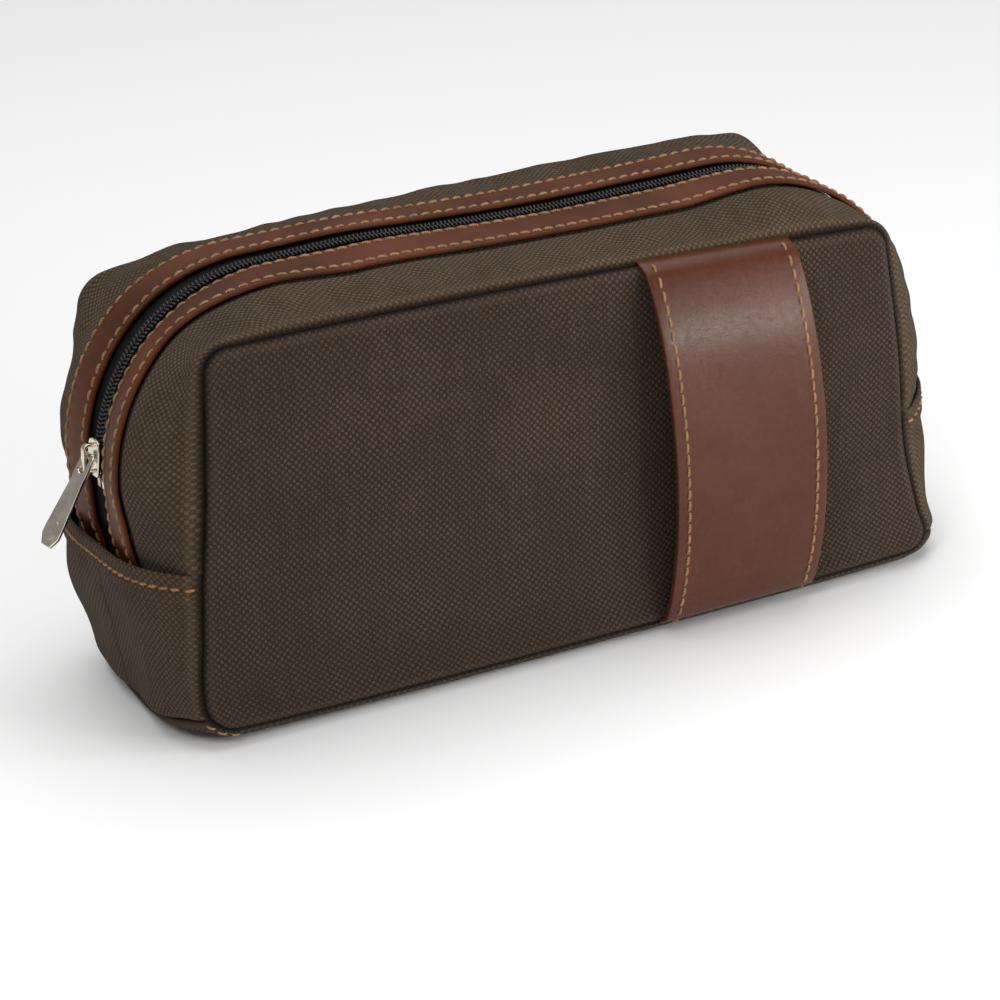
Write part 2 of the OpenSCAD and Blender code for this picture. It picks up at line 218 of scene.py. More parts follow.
def seam_corner(t):
    """Seam points (x, z) on the upper corner, t from 0 at the top to 1 down the side."""
    top = CORNER_CX - BLEND_TO
    arc = SEAM_TOP_R * math.pi / 2
    s = t * (top + arc + CORNER_CZ - BLEND_FROM)
    a = np.clip((s - top) / arc, 0, 1) * math.pi / 2
    x = np.where(s < top, BLEND_TO + s, CORNER_CX + SEAM_TOP_R * np.sin(a))
    down = np.clip(s - top - arc, 0, None)
    return x + down * SEAM_SLOPE, CORNER_CZ + SEAM_TOP_R * np.cos(a) - down


def arch_pair(u):
    """Seam point and zip point, each (x, z), at zip length u from the middle of the top."""
    a, sign = np.abs(u), np.where(u < 0, -1, 1)
    t = np.clip((a - TOP_END) / CORNER_LEN, 0, 1)
    down = np.clip(a - SIDE_START, 0, None)
    flat = np.minimum(a, TOP_END)
    zip_x = flat + ZIP_R * np.sin(t * math.pi / 2)
    zip_z = ZIP_CZ + ZIP_R * np.cos(t * math.pi / 2) - down
    corner_x, corner_z = seam_corner(t)
    seam_z = corner_z - down * (BLEND_FROM - HEM_SIDE) / (ZIP_CZ - HEM_MID)
    seam_x = np.where(a < TOP_END, flat * BLEND_TO / TOP_END, corner_x + (corner_z - seam_z) * SEAM_SLOPE)
    return stacked(sign * seam_x, seam_z), stacked(sign * zip_x, zip_z)


def end_pair(w, side):
    """Seam point and middle point, each (x, z), down an end: w is 0 at the hem and 1 at the base."""
    straight = np.minimum(w, END_TURN) / END_TURN
    turn = np.clip((w - END_TURN) / (1 - END_TURN), 0, 1) * math.pi / 2
    round_x, round_z = np.cos(turn), np.sin(turn)
    mid_x = mix(END_HALF, END_LOW_LEFT if side < 0 else END_LOW_RIGHT, straight) + END_R * (round_x - 1)
    mid_z = mix(HEM_MID, END_R, straight) - END_R * round_z
    seam_z = mix(HEM_SIDE, LOW_CZ, straight) - SEAM_BOTTOM_R * round_z
    seam_x = seam_half(np.maximum(seam_z, LOW_CZ)) + SEAM_BOTTOM_R * (round_x - 1)
    return stacked(side * seam_x, seam_z), stacked(side * mid_x, mid_z)


def lofted(pair, y, squareness):
    """Points between seam points and middle points, both (..., 2), at depth y."""
    seam, middle = pair
    f = bulge(y, squareness)[..., None]
    xz = mix(seam, middle, f)
    return stacked(xz[..., 0], y, xz[..., 1])


def arch(u, y):
    """Outer surface of the zip panels at zip length u and depth y, before it settles.

    It is a tent over the top's front, flatter at the back, and square round both corners. At the
    left corner the front facing's outer edge stands out beyond the zip."""
    u, y = np.broadcast_arrays(np.asarray(u, float), np.asarray(y, float))
    corner = smooth((np.abs(u) - 60) / 45)
    p = lofted(arch_pair(u), y, mix(np.where(y < 0, TOP_CROWN_FRONT, TOP_CROWN_BACK), CORNER_CROWN, corner))
    out = unit(p - np.array([0, 0, ZIP_CZ]) - p * np.array([0.6, 1, 0]))
    ridge = 2.6 * hump(y, -25, 12) + 1.2 * hump(y, 18, 10)
    ridge = ridge * smooth((-u - 95) / 30) * (1 - smooth((np.abs(u) - HEM_AT + 24) / 22))
    tuck = 2.4 * smooth((np.abs(u) - HEM_AT + 6) / 14)
    return p + out * (ridge - tuck)[..., None]


def end_surface(w, y, side):
    """Outer surface of an end, before it settles; side is -1 on the left and 1 on the right."""
    w, y = np.broadcast_arrays(np.asarray(w, float), np.asarray(y, float))
    if side > 0:
        squareness = mix(2.6, 3.8, np.clip(w, 0, 1))
    else:
        squareness = np.where(y > 0, mix(3.2, 5.5, smooth(w / 0.5)), 3.0)
    return lofted(end_pair(w, side), y, squareness)


def roll_in(q):
    """How far a piece turns inward at distance q from the crease of its seam."""
    t = 1 - np.clip(q / ROLL, 0, 1)
    return GROOVE * (1 - np.sqrt(np.clip(1 - t * t, 0, 1)))


def rolled_length(q):
    """Extra cloth that the turn into a seam takes up between distance q and the flat sheet."""
    steps = 80
    grid = np.linspace(0, ROLL, steps)
    slope = np.clip(np.gradient(roll_in(grid), grid), -4, 4)
    extra = np.concatenate([[0], np.cumsum((np.sqrt(1 + slope ** 2) - 1)[::-1])]) * (grid[1] - grid[0])
    return np.interp(ROLL - np.clip(q, 0, ROLL), np.linspace(0, ROLL, steps + 1), extra)


def shoulder(q):
    """The soft ridge where canvas folds over the seam allowance behind it."""
    return 0.45 * hump(q, ROLL + 0.4, 2.2) * smooth(q / ROLL)


# ---- Meshes -------------------------------------------------------------------------------------

def unit(v):
    return v / np.maximum(np.linalg.norm(v, axis=-1, keepdims=True), 1e-9)


def facing_out(normal, p, inside=HEART):
    """Turns normals so that they point away from a place inside the bag."""
    return normal * np.where(np.sum(normal * (p - inside), -1, keepdims=True) < 0, -1, 1)


def grid_normals(p, inside=HEART):
    """Unit normals of a grid of points, rows by columns, pointing away from inside."""
    return facing_out(unit(np.cross(np.gradient(p, axis=1), np.gradient(p, axis=0))), p, inside)


FAR = 50.0                    # distance given to points that are near no seam

def add_object(name, data):
    thing = bpy.data.objects.new(name, data)
    bpy.context.scene.collection.objects.link(thing)
    return thing


def make_mesh(name, points, faces, uv, material, edge=None):
    """A smooth mesh from points in millimetres, with maps called cloth and edge, in millimetres.

    cloth unrolls the sheet, and edge holds each point's distance from a seam or from a facing's edge, by
    which the canvas paints shade in the crease and a highlight beside it."""
    mesh = bpy.data.meshes.new(name)
    mesh.from_pydata((np.asarray(points) * MM).tolist(), [], [list(map(int, f)) for f in faces])
    layer = mesh.uv_layers.new(name="cloth")
    corner = np.empty(len(mesh.loops), np.int32)
    mesh.loops.foreach_get("vertex_index", corner)
    layer.data.foreach_set("uv", np.asarray(uv, np.float32)[corner].ravel())
    if edge is not None:
        near = np.stack([edge, np.zeros_like(edge)], -1).astype(np.float32)
        mesh.uv_layers.new(name="edge").data.foreach_set("uv", near[corner].ravel())
    mesh.materials.append(material)
    mesh.shade_smooth()
    mesh.update()
    return add_object(name, mesh)


def grid_faces(rows, cols, ring=False):
    """Quads over a grid of points; ring joins its last column to its first."""
    r, c = np.meshgrid(np.arange(rows - 1), np.arange(cols if ring else cols - 1), indexing="ij")
    after = (c + 1) % cols
    quads = np.stack([r * cols + c, r * cols + after, (r + 1) * cols + after, (r + 1) * cols + c], -1)
    return quads.reshape(-1, 4)


def slab(name, outer, uv, thickness, material, inside=HEART, collar=None, edge=None):
    """A closed sheet: a grid of outer points, thickened towards the inside of the bag.

    collar is a further loop of points that the grid's border runs on to."""
    rows, cols = outer.shape[:2]
    n = rows * cols
    normal = grid_normals(outer, np.asarray(inside, float))
    index = np.arange(n).reshape(rows, cols)
    rim = np.concatenate([index[0, :-1], index[:-1, -1], index[-1, :0:-1], index[:0:-1, 0]])
    points, offset, maps = outer.reshape(-1, 3), (normal * thickness).reshape(-1, 3), uv.reshape(-1, 2)
    near = np.full(n, FAR) if edge is None else np.broadcast_to(edge, (rows, cols)).reshape(-1)
    # The rim goes round the same way as the grid's faces, so one test settles every face.
    cross = np.cross(outer[0, 1] - outer[0, 0], outer[1, 0] - outer[0, 0])
    flip = np.dot(cross, normal[0, 0]) < 0
    bands = [grid_faces(rows, cols)]
    if collar is not None:
        fresh = n + np.arange(len(rim))
        points = np.concatenate([points, collar])
        offset = np.concatenate([offset, offset[rim]])
        maps = np.concatenate([maps, maps[rim]])
        near = np.concatenate([near, near[rim]])
        bands.append(np.stack([rim, fresh, np.roll(fresh, -1), np.roll(rim, -1)], -1))
        rim = fresh
    skin = np.concatenate(bands)
    total = len(points)
    walls = np.stack([rim, rim + total, np.roll(rim, -1) + total, np.roll(rim, -1)], -1)
    quads = np.concatenate([skin, skin[:, ::-1] + total, walls])
    if flip:
        quads = quads[:, ::-1]
    return make_mesh(name, np.concatenate([points, points - offset]), quads, np.concatenate([maps] * 2),
                     material, np.concatenate([near] * 2))


def sweep(name, rings, material, along):
    """A closed bar from rings of points, rings by points by 3, with flat ends."""
    points, faces, uv = sweep_parts(rings, along)
    return make_mesh(name, points, faces, uv, material)


def sweep_parts(rings, along):
    """Points, faces and cloth map of a closed bar; along is each ring's place on the map."""
    rows, cols = rings.shape[:2]
    size = np.linalg.norm(np.roll(rings, -1, axis=1) - rings, axis=-1).mean(0)
    girth = np.concatenate([[0], np.cumsum(size)[:-1]])
    uv = stacked(np.asarray(along)[:, None], girth[None, :])
    faces = grid_faces(rows, cols, ring=True).tolist()
    faces += [list(range(cols))[::-1], [(rows - 1) * cols + i for i in range(cols)]]
    if ring_volume(rings) < 0:
        faces = [face[::-1] for face in faces]
    return rings.reshape(-1, 3), faces, uv.reshape(-1, 2)


def ring_volume(rings):
    """Sign of the volume inside rings of points: below 0 if their faces point inward."""
    centre = rings.mean(1)
    spoke = rings - centre[:, None]
    around = np.cross(spoke, np.roll(spoke, -1, axis=1)).sum(1)
    return np.sum(around[:-1] * np.diff(centre, axis=0))


def joined(name, parts, material):
    """One mesh from several (points, faces, uv)."""
    points, faces, uv, start = [], [], [], 0
    for part_points, part_faces, part_uv in parts:
        points.append(part_points)
        uv.append(part_uv)
        faces += [[i + start for i in face] for face in part_faces]
        start += len(part_points)
    return make_mesh(name, np.concatenate(points), faces, np.concatenate(uv), material)


def surface_frames(surface, a, b, step_a, step_b, inside=HEART):
    """Settled points of surface(a, b), their outward normals, and the direction in which a grows."""
    p = settle(surface(a, b))
    along = unit(settle(surface(a + step_a, b)) - settle(surface(a - step_a, b)))
    across = unit(settle(surface(a, b + step_b)) - settle(surface(a, b - step_b)))
    return p, facing_out(unit(np.cross(along, across)), p, inside), along

def arch_frames(u, y):
    """Settled points on the zip arch with their outward normals and the direction along the zip."""
    return surface_frames(arch, u, y, 0.5, 0.5, np.array([0, 0, 40.0]))

def rounded_section(y0, y1, d0, d1, r, steps=3, spans=6):
    """A flat bar's section with rounded edges and flat faces, as (y, height) pairs."""
    corners = []
    for cy, cd, start in ((y1 - r, d1 - r, 0), (y0 + r, d1 - r, 90), (y0 + r, d0 + r, 180),
                          (y1 - r, d0 + r, 270)):
        angles = np.radians(start + 90 * np.arange(steps + 1) / steps)
        corners.append(np.stack([cy + r * np.cos(angles), cd + r * np.sin(angles)], -1))
    out = []
    for here, there in zip(corners, corners[1:] + corners[:1]):
        wide = abs(there[0, 0] - here[-1, 0]) > abs(there[0, 1] - here[-1, 1])
        between = np.linspace(0, 1, (spans if wide else 1) + 1)[1:-1, None]
        out += [here, mix(here[-1], there[0], between)]
    return np.concatenate(out)


def arch_bar(name, side, section, u, material, shift=0.0):
    """Sweeps a section of (|y|, height) pairs along the zip arch, on the front (-1) or back (1)."""
    y = section[None, :, 0] + np.asarray(shift).reshape(-1, 1)
    p, normal, _ = arch_frames(u[:, None], side * y)
    return sweep(name, p + normal * section[None, :, 1, None], material, u)


def stitches(name, p, normal, along, lean, length=3.8, radius=0.52, rise=0.46):
    """Separate stitches centred on points p, each a short thread that dives in at both ends."""
    sides, steps = 8, 9
    s = np.sin(np.linspace(-math.pi / 2, math.pi / 2, steps))
    angle = np.arange(sides) * 2 * math.pi / sides
    along = unit(along + unit(np.cross(normal, along)) * lean)
    across = unit(np.cross(normal, along))
    thick = radius * np.sqrt(np.clip(1.02 - s ** 4, 0, 1))
    height = rise * (1 - s ** 2) - radius * 0.45
    body = (p[:, None, None]
            + along[:, None, None] * (s * length / 2)[None, :, None, None]
            + normal[:, None, None] * (height[:, None] + thick[:, None] * np.cos(angle))[None, :, :, None]
            + across[:, None, None] * (thick[:, None] * np.sin(angle))[None, :, :, None])
    return joined(name, [sweep_parts(rings, s * length / 2) for rings in body], THREAD)


# ---- Materials ----------------------------------------------------------------------------------

class Graph:
    """A new material with short ways to add and join shader nodes."""

    def __init__(self, name):
        self.material = bpy.data.materials.new(name)
        self.material.use_nodes = True
        self.nodes = self.material.node_tree.nodes
        self.links = self.material.node_tree.links
        self.shader = self.nodes["Principled BSDF"]

    def add(self, kind, **settings):
        node = self.nodes.new(kind)
        for key, value in settings.items():
            setattr(node, key, value)
        return node

    def join(self, value, socket):
        if isinstance(value, (int, float)):
            socket.default_value = value
        elif isinstance(value, (tuple, list)):
            socket.default_value = (*value, 1) if len(socket.default_value) == 4 else value
        else:
            self.links.new(value, socket)

    def set(self, **values):
        """Joins values to the shader's sockets, named with _ for a space."""
        for key, value in values.items():
            self.join(value, self.shader.inputs[key.replace("_", " ")])
        return self.material

    def math(self, operation, *values, clamp=False):
        node = self.add("ShaderNodeMath", operation=operation, use_clamp=clamp)
        for value, socket in zip(values, node.inputs):
            self.join(value, socket)
        return node.outputs[0]

    def total(self, *values):
        """Sum of (value, weight) pairs."""
        result = 0.0
        for value, weight in values:
            result = self.math("MULTIPLY_ADD", value, weight, result)
        return result

    def uv(self, name):
        """U and V of a map, in millimetres."""
        split = self.add("ShaderNodeSeparateXYZ")
        self.links.new(self.add("ShaderNodeUVMap", uv_map=name).outputs[0], split.inputs[0])
        return split.outputs[0], split.outputs[1]

    def vector(self, x, y, z=0.0):
        node = self.add("ShaderNodeCombineXYZ")
        for value, socket in zip((x, y, z), node.inputs):
            self.join(value, socket)
        return node.outputs[0]

    def noise(self, vector, scale, detail=2.0, roughness=0.5):
        node = self.add("ShaderNodeTexNoise")
        self.links.new(vector, node.inputs["Vector"])
        self.join(scale, node.inputs["Scale"])
        self.join(detail, node.inputs["Detail"])
        self.join(roughness, node.inputs["Roughness"])
        return node.outputs["Fac"]

    def place(self):
        """Position on the object, in metres."""
        return self.add("ShaderNodeTexCoord").outputs["Object"]

    def spread(self, value, low, high, out_low=0.0, out_high=1.0):
        node = self.add("ShaderNodeMapRange", interpolation_type="SMOOTHSTEP")
        self.join(value, node.inputs["Value"])
        for key, number in (("From Min", low), ("From Max", high), ("To Min", out_low), ("To Max", out_high)):
            node.inputs[key].default_value = number
        return node.outputs["Result"]

    def blend(self, factor, a, b):
        node = self.add("ShaderNodeMix", data_type="RGBA")
        colours = [socket for socket in node.inputs if socket.type == "RGBA"]
        self.join(factor, node.inputs[0])
        self.join(a, colours[0])
        self.join(b, colours[1])
        return [socket for socket in node.outputs if socket.type == "RGBA"][0]

    def bump(self, height, distance, strength=1.0):
        node = self.add("ShaderNodeBump")
        node.inputs["Distance"].default_value = distance
        node.inputs["Strength"].default_value = strength
        self.join(height, node.inputs["Height"])
        return node.outputs[0]


def canvas_material(name, dark, light, tint, pitch=1.18):
    """Heavy plain-weave canvas: raised yarn crowns, worn pale on top, with uneven yarns.

    dark is the gap between yarns, light a worn crown, and tint a faint stain in cloudy patches. The edge map
    also paints shade into a seam's crease and a highlight onto the ridge beside it."""
    g = Graph(name)
    u, v = g.uv("cloth")
    place = g.place()
    cloth = g.vector(u, v)
    drift = g.math("SUBTRACT", g.noise(cloth, 0.05, 2.0), 0.5)
    jitter = g.math("SUBTRACT", g.noise(cloth, 0.8, 2.0), 0.5)
    wobble = g.total((drift, 2.4), (jitter, 0.5))
    a = g.math("COSINE", g.math("MULTIPLY", g.math("ADD", u, wobble), math.pi / pitch))
    b = g.math("COSINE", g.math("MULTIPLY", g.math("SUBTRACT", v, wobble), math.pi / pitch))
    weave = g.math("MULTIPLY", a, b)
    crown = g.spread(weave, -0.5, 0.65)
    cross = g.spread(g.math("MULTIPLY", weave, -1.0), 0.3, 1.0)
    yarn_up = g.noise(g.vector(g.math("MULTIPLY", u, 1 / pitch), g.math("MULTIPLY", v, 0.04)), 1.0, 1.0)
    yarn_over = g.noise(g.vector(g.math("MULTIPLY", u, 0.04), g.math("MULTIPLY", v, 1 / pitch)), 1.0, 1.0)
    speck = g.noise(cloth, 1.6, 1.0)
    patch = g.noise(place, 24.0, 3.0, 0.6)
    wear = g.total((yarn_up, 0.45), (yarn_over, 0.25), (patch, 0.7), (speck, 0.5))
    pale = g.math("MULTIPLY", crown, g.spread(wear, 0.6, 1.3, 0.35, 1.0))
    pale = g.math("ADD", pale, g.math("MULTIPLY", cross, 0.2), clamp=True)
    stain = g.spread(g.noise(place, 15.0, 2.0), 0.45, 0.7)
    yarn = g.blend(g.math("MULTIPLY", stain, 0.45), light, tint)
    # Along a seam the crease is darkened with painted shade, and the ridge beside it is lightened with a
    # painted highlight.
    near, _ = g.uv("edge")
    clear_of_painted_crease_shade = g.spread(near, 0.0, 1.1)
    # ridge: a painted highlight on the fold beside a seam.
    ridge = g.math("SUBTRACT", g.spread(near, 0.8, 1.8, 0.0, 0.2), g.spread(near, 2.0, 4.0, 0.0, 0.2))
    # crease: the colour of the painted shade in a seam's crease.
    crease = tuple(c * 0.4 for c in dark)
    fuzz = g.noise(cloth, 4.0, 3.0, 0.7)
    height = g.total((crown, 0.8), (cross, 0.45), (fuzz, 0.35))
    # The ridge's painted highlight goes on first, then the crease's painted shade.
    colour = g.blend(ridge, g.blend(pale, dark, yarn), light)
    colour = g.blend(clear_of_painted_crease_shade, crease, colour)
    return g.set(Base_Color=colour, Normal=g.bump(height, 0.0004), Roughness=0.95,
                 Specular_IOR_Level=0.06, Sheen_Weight=0.03, Sheen_Roughness=0.5)


def leather_material(name, dark, light, roughness, specular):
    """Smooth waxed leather: cloudy colour, fine pores and faint drawn grain."""
    g = Graph(name)
    place = g.place()
    cloud = g.noise(place, 30.0, 4.0, 0.6)
    fine = g.noise(place, 420.0, 4.0, 0.65)
    tone = g.spread(g.total((cloud, 1.0), (fine, 0.35)), 0.45, 0.9)
    pores = g.add("ShaderNodeTexVoronoi", feature="DISTANCE_TO_EDGE")
    g.links.new(place, pores.inputs["Vector"])
    pores.inputs["Scale"].default_value = 1500.0
    cells = g.spread(pores.outputs["Distance"], 0.0, 0.16)
    height = g.total((cells, 0.5), (fine, 0.8))
    return g.set(Base_Color=g.blend(tone, dark, light), Normal=g.bump(height, 0.00006, 0.6),
                 Roughness=g.spread(fine, 0.3, 0.7, roughness - 0.05, roughness + 0.08),
                 Specular_IOR_Level=specular)


def thread_material():
    g = Graph("thread")
    u, v = g.uv("cloth")
    twist = g.math("SINE", g.math("MULTIPLY", g.total((u, 1.0), (v, 0.8)), 8.0))
    tone = g.spread(g.total((twist, 0.25), (g.noise(g.place(), 260.0), 1.0)), 0.2, 0.9)
    return g.set(Base_Color=g.blend(tone, (0.20, 0.095, 0.040), (0.50, 0.27, 0.125)),
                 Normal=g.bump(twist, 0.0001, 0.7), Roughness=0.6, Specular_IOR_Level=0.3)


def plain_material(name, colour, roughness, metallic=0.0, mottle=0.1, scale=150.0, bump=0.00003):
    """One colour with slight mottling and fine bumps, for zip parts, lining and metal."""
    g = Graph(name)
    grain = g.noise(g.place(), scale, 3.0, 0.6)
    low = tuple(c * (1 - mottle * 2) for c in colour)
    high = tuple(min(1.0, c * (1 + mottle * 2)) for c in colour)
    g.shader.inputs["Metallic"].default_value = metallic
    return g.set(Base_Color=g.blend(g.spread(grain, 0.3, 0.7), low, high), Normal=g.bump(grain, bump, 0.5),
                 Roughness=g.spread(grain, 0.3, 0.7, roughness * 0.85, min(1.0, roughness * 1.15)))


def tape_material():
    """Woven zip tape: fine slanting ribs."""
    g = Graph("zip_tape")
    u, v = g.uv("cloth")
    slant = g.math("ABSOLUTE", g.math("SUBTRACT", v, 4.0))
    rib = g.math("SINE", g.math("MULTIPLY", g.math("ADD", u, slant), 8.0))
    tone = g.spread(g.total((rib, 0.3), (g.noise(g.place(), 300.0), 1.0)), 0.1, 1.0)
    return g.set(Base_Color=g.blend(tone, (0.004, 0.004, 0.004), (0.014, 0.013, 0.013)),
                 Normal=g.bump(rib, 0.0001, 0.6), Roughness=0.85, Specular_IOR_Level=0.15)


# One canvas in two copies: the panels' copy is painted darker as the shaded one, and the copy for the zip
# panels, ends and base is painted lighter as the lit one.
SHADED_CANVAS_COPY = canvas_material("panel_canvas", (0.024, 0.016, 0.010), (0.095, 0.064, 0.047), (0.085, 0.056, 0.052))
LIT_CANVAS_COPY = canvas_material("gusset_canvas_lit_copy", (0.037, 0.025, 0.016), (0.131, 0.091, 0.058),
                             (0.118, 0.083, 0.057))
LINING = plain_material("lining", (0.028, 0.022, 0.018), 0.85, mottle=0.15, scale=600.0, bump=0.0001)
LEATHER = leather_material("facing_leather", (0.058, 0.016, 0.006), (0.112, 0.031, 0.012), 0.5, 0.15)
BAND_LEATHER = leather_material("band_leather", (0.070, 0.020, 0.009), (0.090, 0.027, 0.013), 0.23, 0.22)
EDGE_LEATHER = leather_material("raw_leather", (0.05, 0.016, 0.008), (0.09, 0.03, 0.014), 0.7, 0.2)
THREAD = thread_material()
TAPE = tape_material()
COIL = plain_material("zip_coil", (0.007, 0.007, 0.007), 0.38, mottle=0.2)
NICKEL = plain_material("nickel", (0.74, 0.69, 0.58), 0.2, metallic=1.0, mottle=0.05, scale=220.0)


# ---- Pieces -------------------------------------------------------------------------------------

def place_piece(piece, body, slot, *nodes):
    """Puts a piece on the body it rides on and hides the CAD nodes that it stands for; slot is not used."""
    if body:
        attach(piece, body)
    if nodes:
        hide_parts(*nodes)


# Distances from an edge at which a sheet has rows of points, so that its rolled edge is round.
EDGE_ROWS = np.array([0, 0.3, 0.7, 1.2, 1.8, 2.6, 3.6, 5.0, 7.0])


def graded(length, step):
    """Fractions of a length with close rows near both ends and even rows between."""
    count = int(round((length - 2 * EDGE_ROWS[-1]) / step))
    middle = np.linspace(EDGE_ROWS[-1], length - EDGE_ROWS[-1], count + 1)[1:-1]
    return np.concatenate([EDGE_ROWS, middle, (length - EDGE_ROWS)[::-1]]) / length


def panel_sides(inset):
    """The four sides of a panel's outline as (x, z) polylines, split at the middles of its corners."""
    low, high = SEAM_BOTTOM_R - inset, SEAM_TOP_R - inset
    corners = ((LOW_CX, LOW_CZ, low), (CORNER_CX, CORNER_CZ, high), (-CORNER_CX, CORNER_CZ, high),
               (-LOW_CX, LOW_CZ, low))
    halves = []
    for i, (cx, cz, r) in enumerate(corners):
        a = np.radians(np.linspace(-90, 0, 41) + 90 * i)
        arc = np.stack([cx + r * np.cos(a), cz + r * np.sin(a)], -1)
        halves.append((arc[:21], arc[20:]))
    sides = [np.concatenate([halves[i - 1][1], halves[i][0]]) for i in range(4)]
    return sides[0], sides[1], sides[2][::-1], sides[3][::-1]


def resampled(line, fractions):
    s = np.concatenate([[0], np.cumsum(np.linalg.norm(np.diff(line, axis=0), axis=1))])
    return np.stack([np.interp(fractions * s[-1], s, line[:, i]) for i in (0, 1)], -1)


PANEL_SPAN = (262, 130)       # width and height that set how many columns and rows a panel has
PANEL_STEP = 1.9

def panel_border(inset):
    """Columns and rows of a panel's grid as fractions, and its bottom, right, top and left sides."""
    across, up = (graded(span, PANEL_STEP) for span in PANEL_SPAN)
    sides = [resampled(line, fractions) for line, fractions
             in zip(panel_sides(inset), (across, up, across, up))]
    return across, up, sides

def panel_grid(inset):
    """Grid of (x, z) points that fills a panel, their distances to the edge and their cloth map."""
    across, up, (bottom, right, top, left) = panel_border(inset)
    s, t = across[None, :, None], up[:, None, None]
    flat = (1 - t) * bottom[None] + t * top[None] + (1 - s) * left[:, None] + s * right[:, None] - (
        (1 - s) * (1 - t) * bottom[0] + s * (1 - t) * bottom[-1] + (1 - s) * t * top[0] + s * t * top[-1])
    edge = np.concatenate([resampled(line, np.linspace(0, 1, 900)) for line in panel_sides(inset)])
    tree = kdtree.KDTree(len(edge))
    for i, (x, z) in enumerate(edge):
        tree.insert((x, z, 0), i)
    tree.balance()
    found = [tree.find((x, z, 0)) for x, z in flat.reshape(-1, 2)]
    q = np.array([distance for _, _, distance in found]).reshape(flat.shape[:2])
    rim = np.array([(place.x, place.y) for place, _, _ in found]).reshape(flat.shape)
    return flat, q, flat + unit(rim - flat) * rolled_length(q)[..., None]


def border_loop(bottom, right, top, left):
    """Points once round a grid's border, in the order that slab() walks it."""
    return np.concatenate([bottom[:-1], right[:-1], top[:0:-1], left[:0:-1]])


PANEL_DOME = 4.6              # how far the middle of a panel swells out, chosen against the photo
SIM_STEP = 8.0                # spacing of the simulated sheet's points
SIM_FRAMES = 20
SIM_PRESSURE = 4


def swollen(flat, q):
    """How far a panel's canvas swells out at each point: a sheet sewn down all round and blown up.

    The simulation gives the shape of the swelling, and PANEL_DOME sets its height."""
    (x0, z0), (x1, z1) = flat.reshape(-1, 2).min(0), flat.reshape(-1, 2).max(0)
    xs = np.linspace(x0, x1, int((x1 - x0) / SIM_STEP))
    zs = np.linspace(z0, z1, int((z1 - z0) / SIM_STEP))
    grid = stacked(xs[None, :], 0.0, zs[:, None])
    rows, cols = grid.shape[:2]
    sheet = make_mesh("swelling_sheet", grid.reshape(-1, 3), grid_faces(rows, cols),
                      grid[..., ::2].reshape(-1, 2), LINING)
    index = np.arange(rows * cols).reshape(rows, cols)
    pins = np.unique(np.concatenate([index[0], index[-1], index[:, 0], index[:, -1]])).tolist()
    sheet.vertex_groups.new(name="sewn").add(pins, 1.0, "REPLACE")
    cloth = sheet.modifiers.new("swell", "CLOTH")
    cloth.settings.vertex_group_mass = "sewn"
    cloth.settings.use_pressure = True
    cloth.settings.uniform_pressure_force = SIM_PRESSURE
    cloth.settings.effector_weights.gravity = 0
    cloth.point_cache.frame_end = SIM_FRAMES
    for step in range(1, SIM_FRAMES + 1):
        bpy.context.scene.frame_set(step)
    result = sheet.evaluated_get(bpy.context.evaluated_depsgraph_get()).data
    moved = np.empty(rows * cols * 3)
    result.vertices.foreach_get("co", moved)
    swell = np.abs(moved.reshape(rows, cols, 3)[..., 1]) / MM
    swell = swell * (PANEL_DOME / swell.max())
    bpy.data.objects.remove(sheet)
    bpy.context.scene.frame_set(1)
    # The coarse sheet is read at the fine grid's points.
    c = np.clip((flat[..., 0] - x0) / (x1 - x0) * (cols - 1), 0, cols - 1.001)
    r = np.clip((flat[..., 1] - z0) / (z1 - z0) * (rows - 1), 0, rows - 1.001)
    ci, ri = c.astype(int), r.astype(int)
    fc, fr = eased(c - ci), eased(r - ri)
    low = mix(swell[ri, ci], swell[ri, ci + 1], fc)
    high = mix(swell[ri + 1, ci], swell[ri + 1, ci + 1], fc)
    return mix(low, high, fr) * smooth(q / 6 + 0.2)


def eased(t):
    """Part way between linear and smooth, so that a coarse sheet shows no facets."""
    return mix(t, smooth(t), 0.5)


def seam_pucker(base, q, seed):
    """Small waves where the stitching of a seam draws the canvas in."""
    return 0.28 * Ripples(seed, 11)(base) * hump(q, 4.5, 3.0) * smooth(q / 3)


def make_panels():
    flat, q, uv = panel_grid(GROOVE)
    collar_xz = border_loop(*panel_border(GROOVE + ALLOWANCE)[2])
    swell = swollen(flat, q)
    for name, side in SIDES:
        base = stacked(flat[..., 0], 0.0, flat[..., 1])
        ripples = 0.9 * Ripples(11 + side, 70)(base) + 0.3 * Ripples(21 + side, 28)(base)
        dome = swell + shoulder(q) + seam_pucker(base, q, 61 + side) + smooth(q / 35) * ripples
        p = stacked(flat[..., 0], side * (PANEL_Y + dome - roll_in(q)), flat[..., 1])
        collar = stacked(collar_xz[:, 0], side * (PANEL_Y - GROOVE - ALLOWANCE), collar_xz[:, 1])
        piece = slab(f"{name}_panel_canvas", settle(p), uv, CANVAS_T, SHADED_CANVAS_COPY, collar=settle(collar), edge=q)
        place_piece(piece, f"{name}_half", "canvas", f"{name}_panel")
        lining = p[6:-6:3, 6:-6:3] - np.array([0, side * 3.4, 0])
        piece = slab(f"{name}_panel_lining", settle(lining), flat[6:-6:3, 6:-6:3], LINING_T, LINING)
        place_piece(piece, f"{name}_half", "lining", f"{name}_lining")


def outward(curve):
    """Outward unit directions (x, z) across a seam curve of (x, z) points."""
    tangent = unit(np.gradient(curve, axis=0))
    normal = np.stack([tangent[:, 1], -tangent[:, 0]], -1)
    away = np.sum(normal * (curve - HEART[[0, 2]]), -1, keepdims=True)
    return normal * np.where(away < 0, -1, 1)


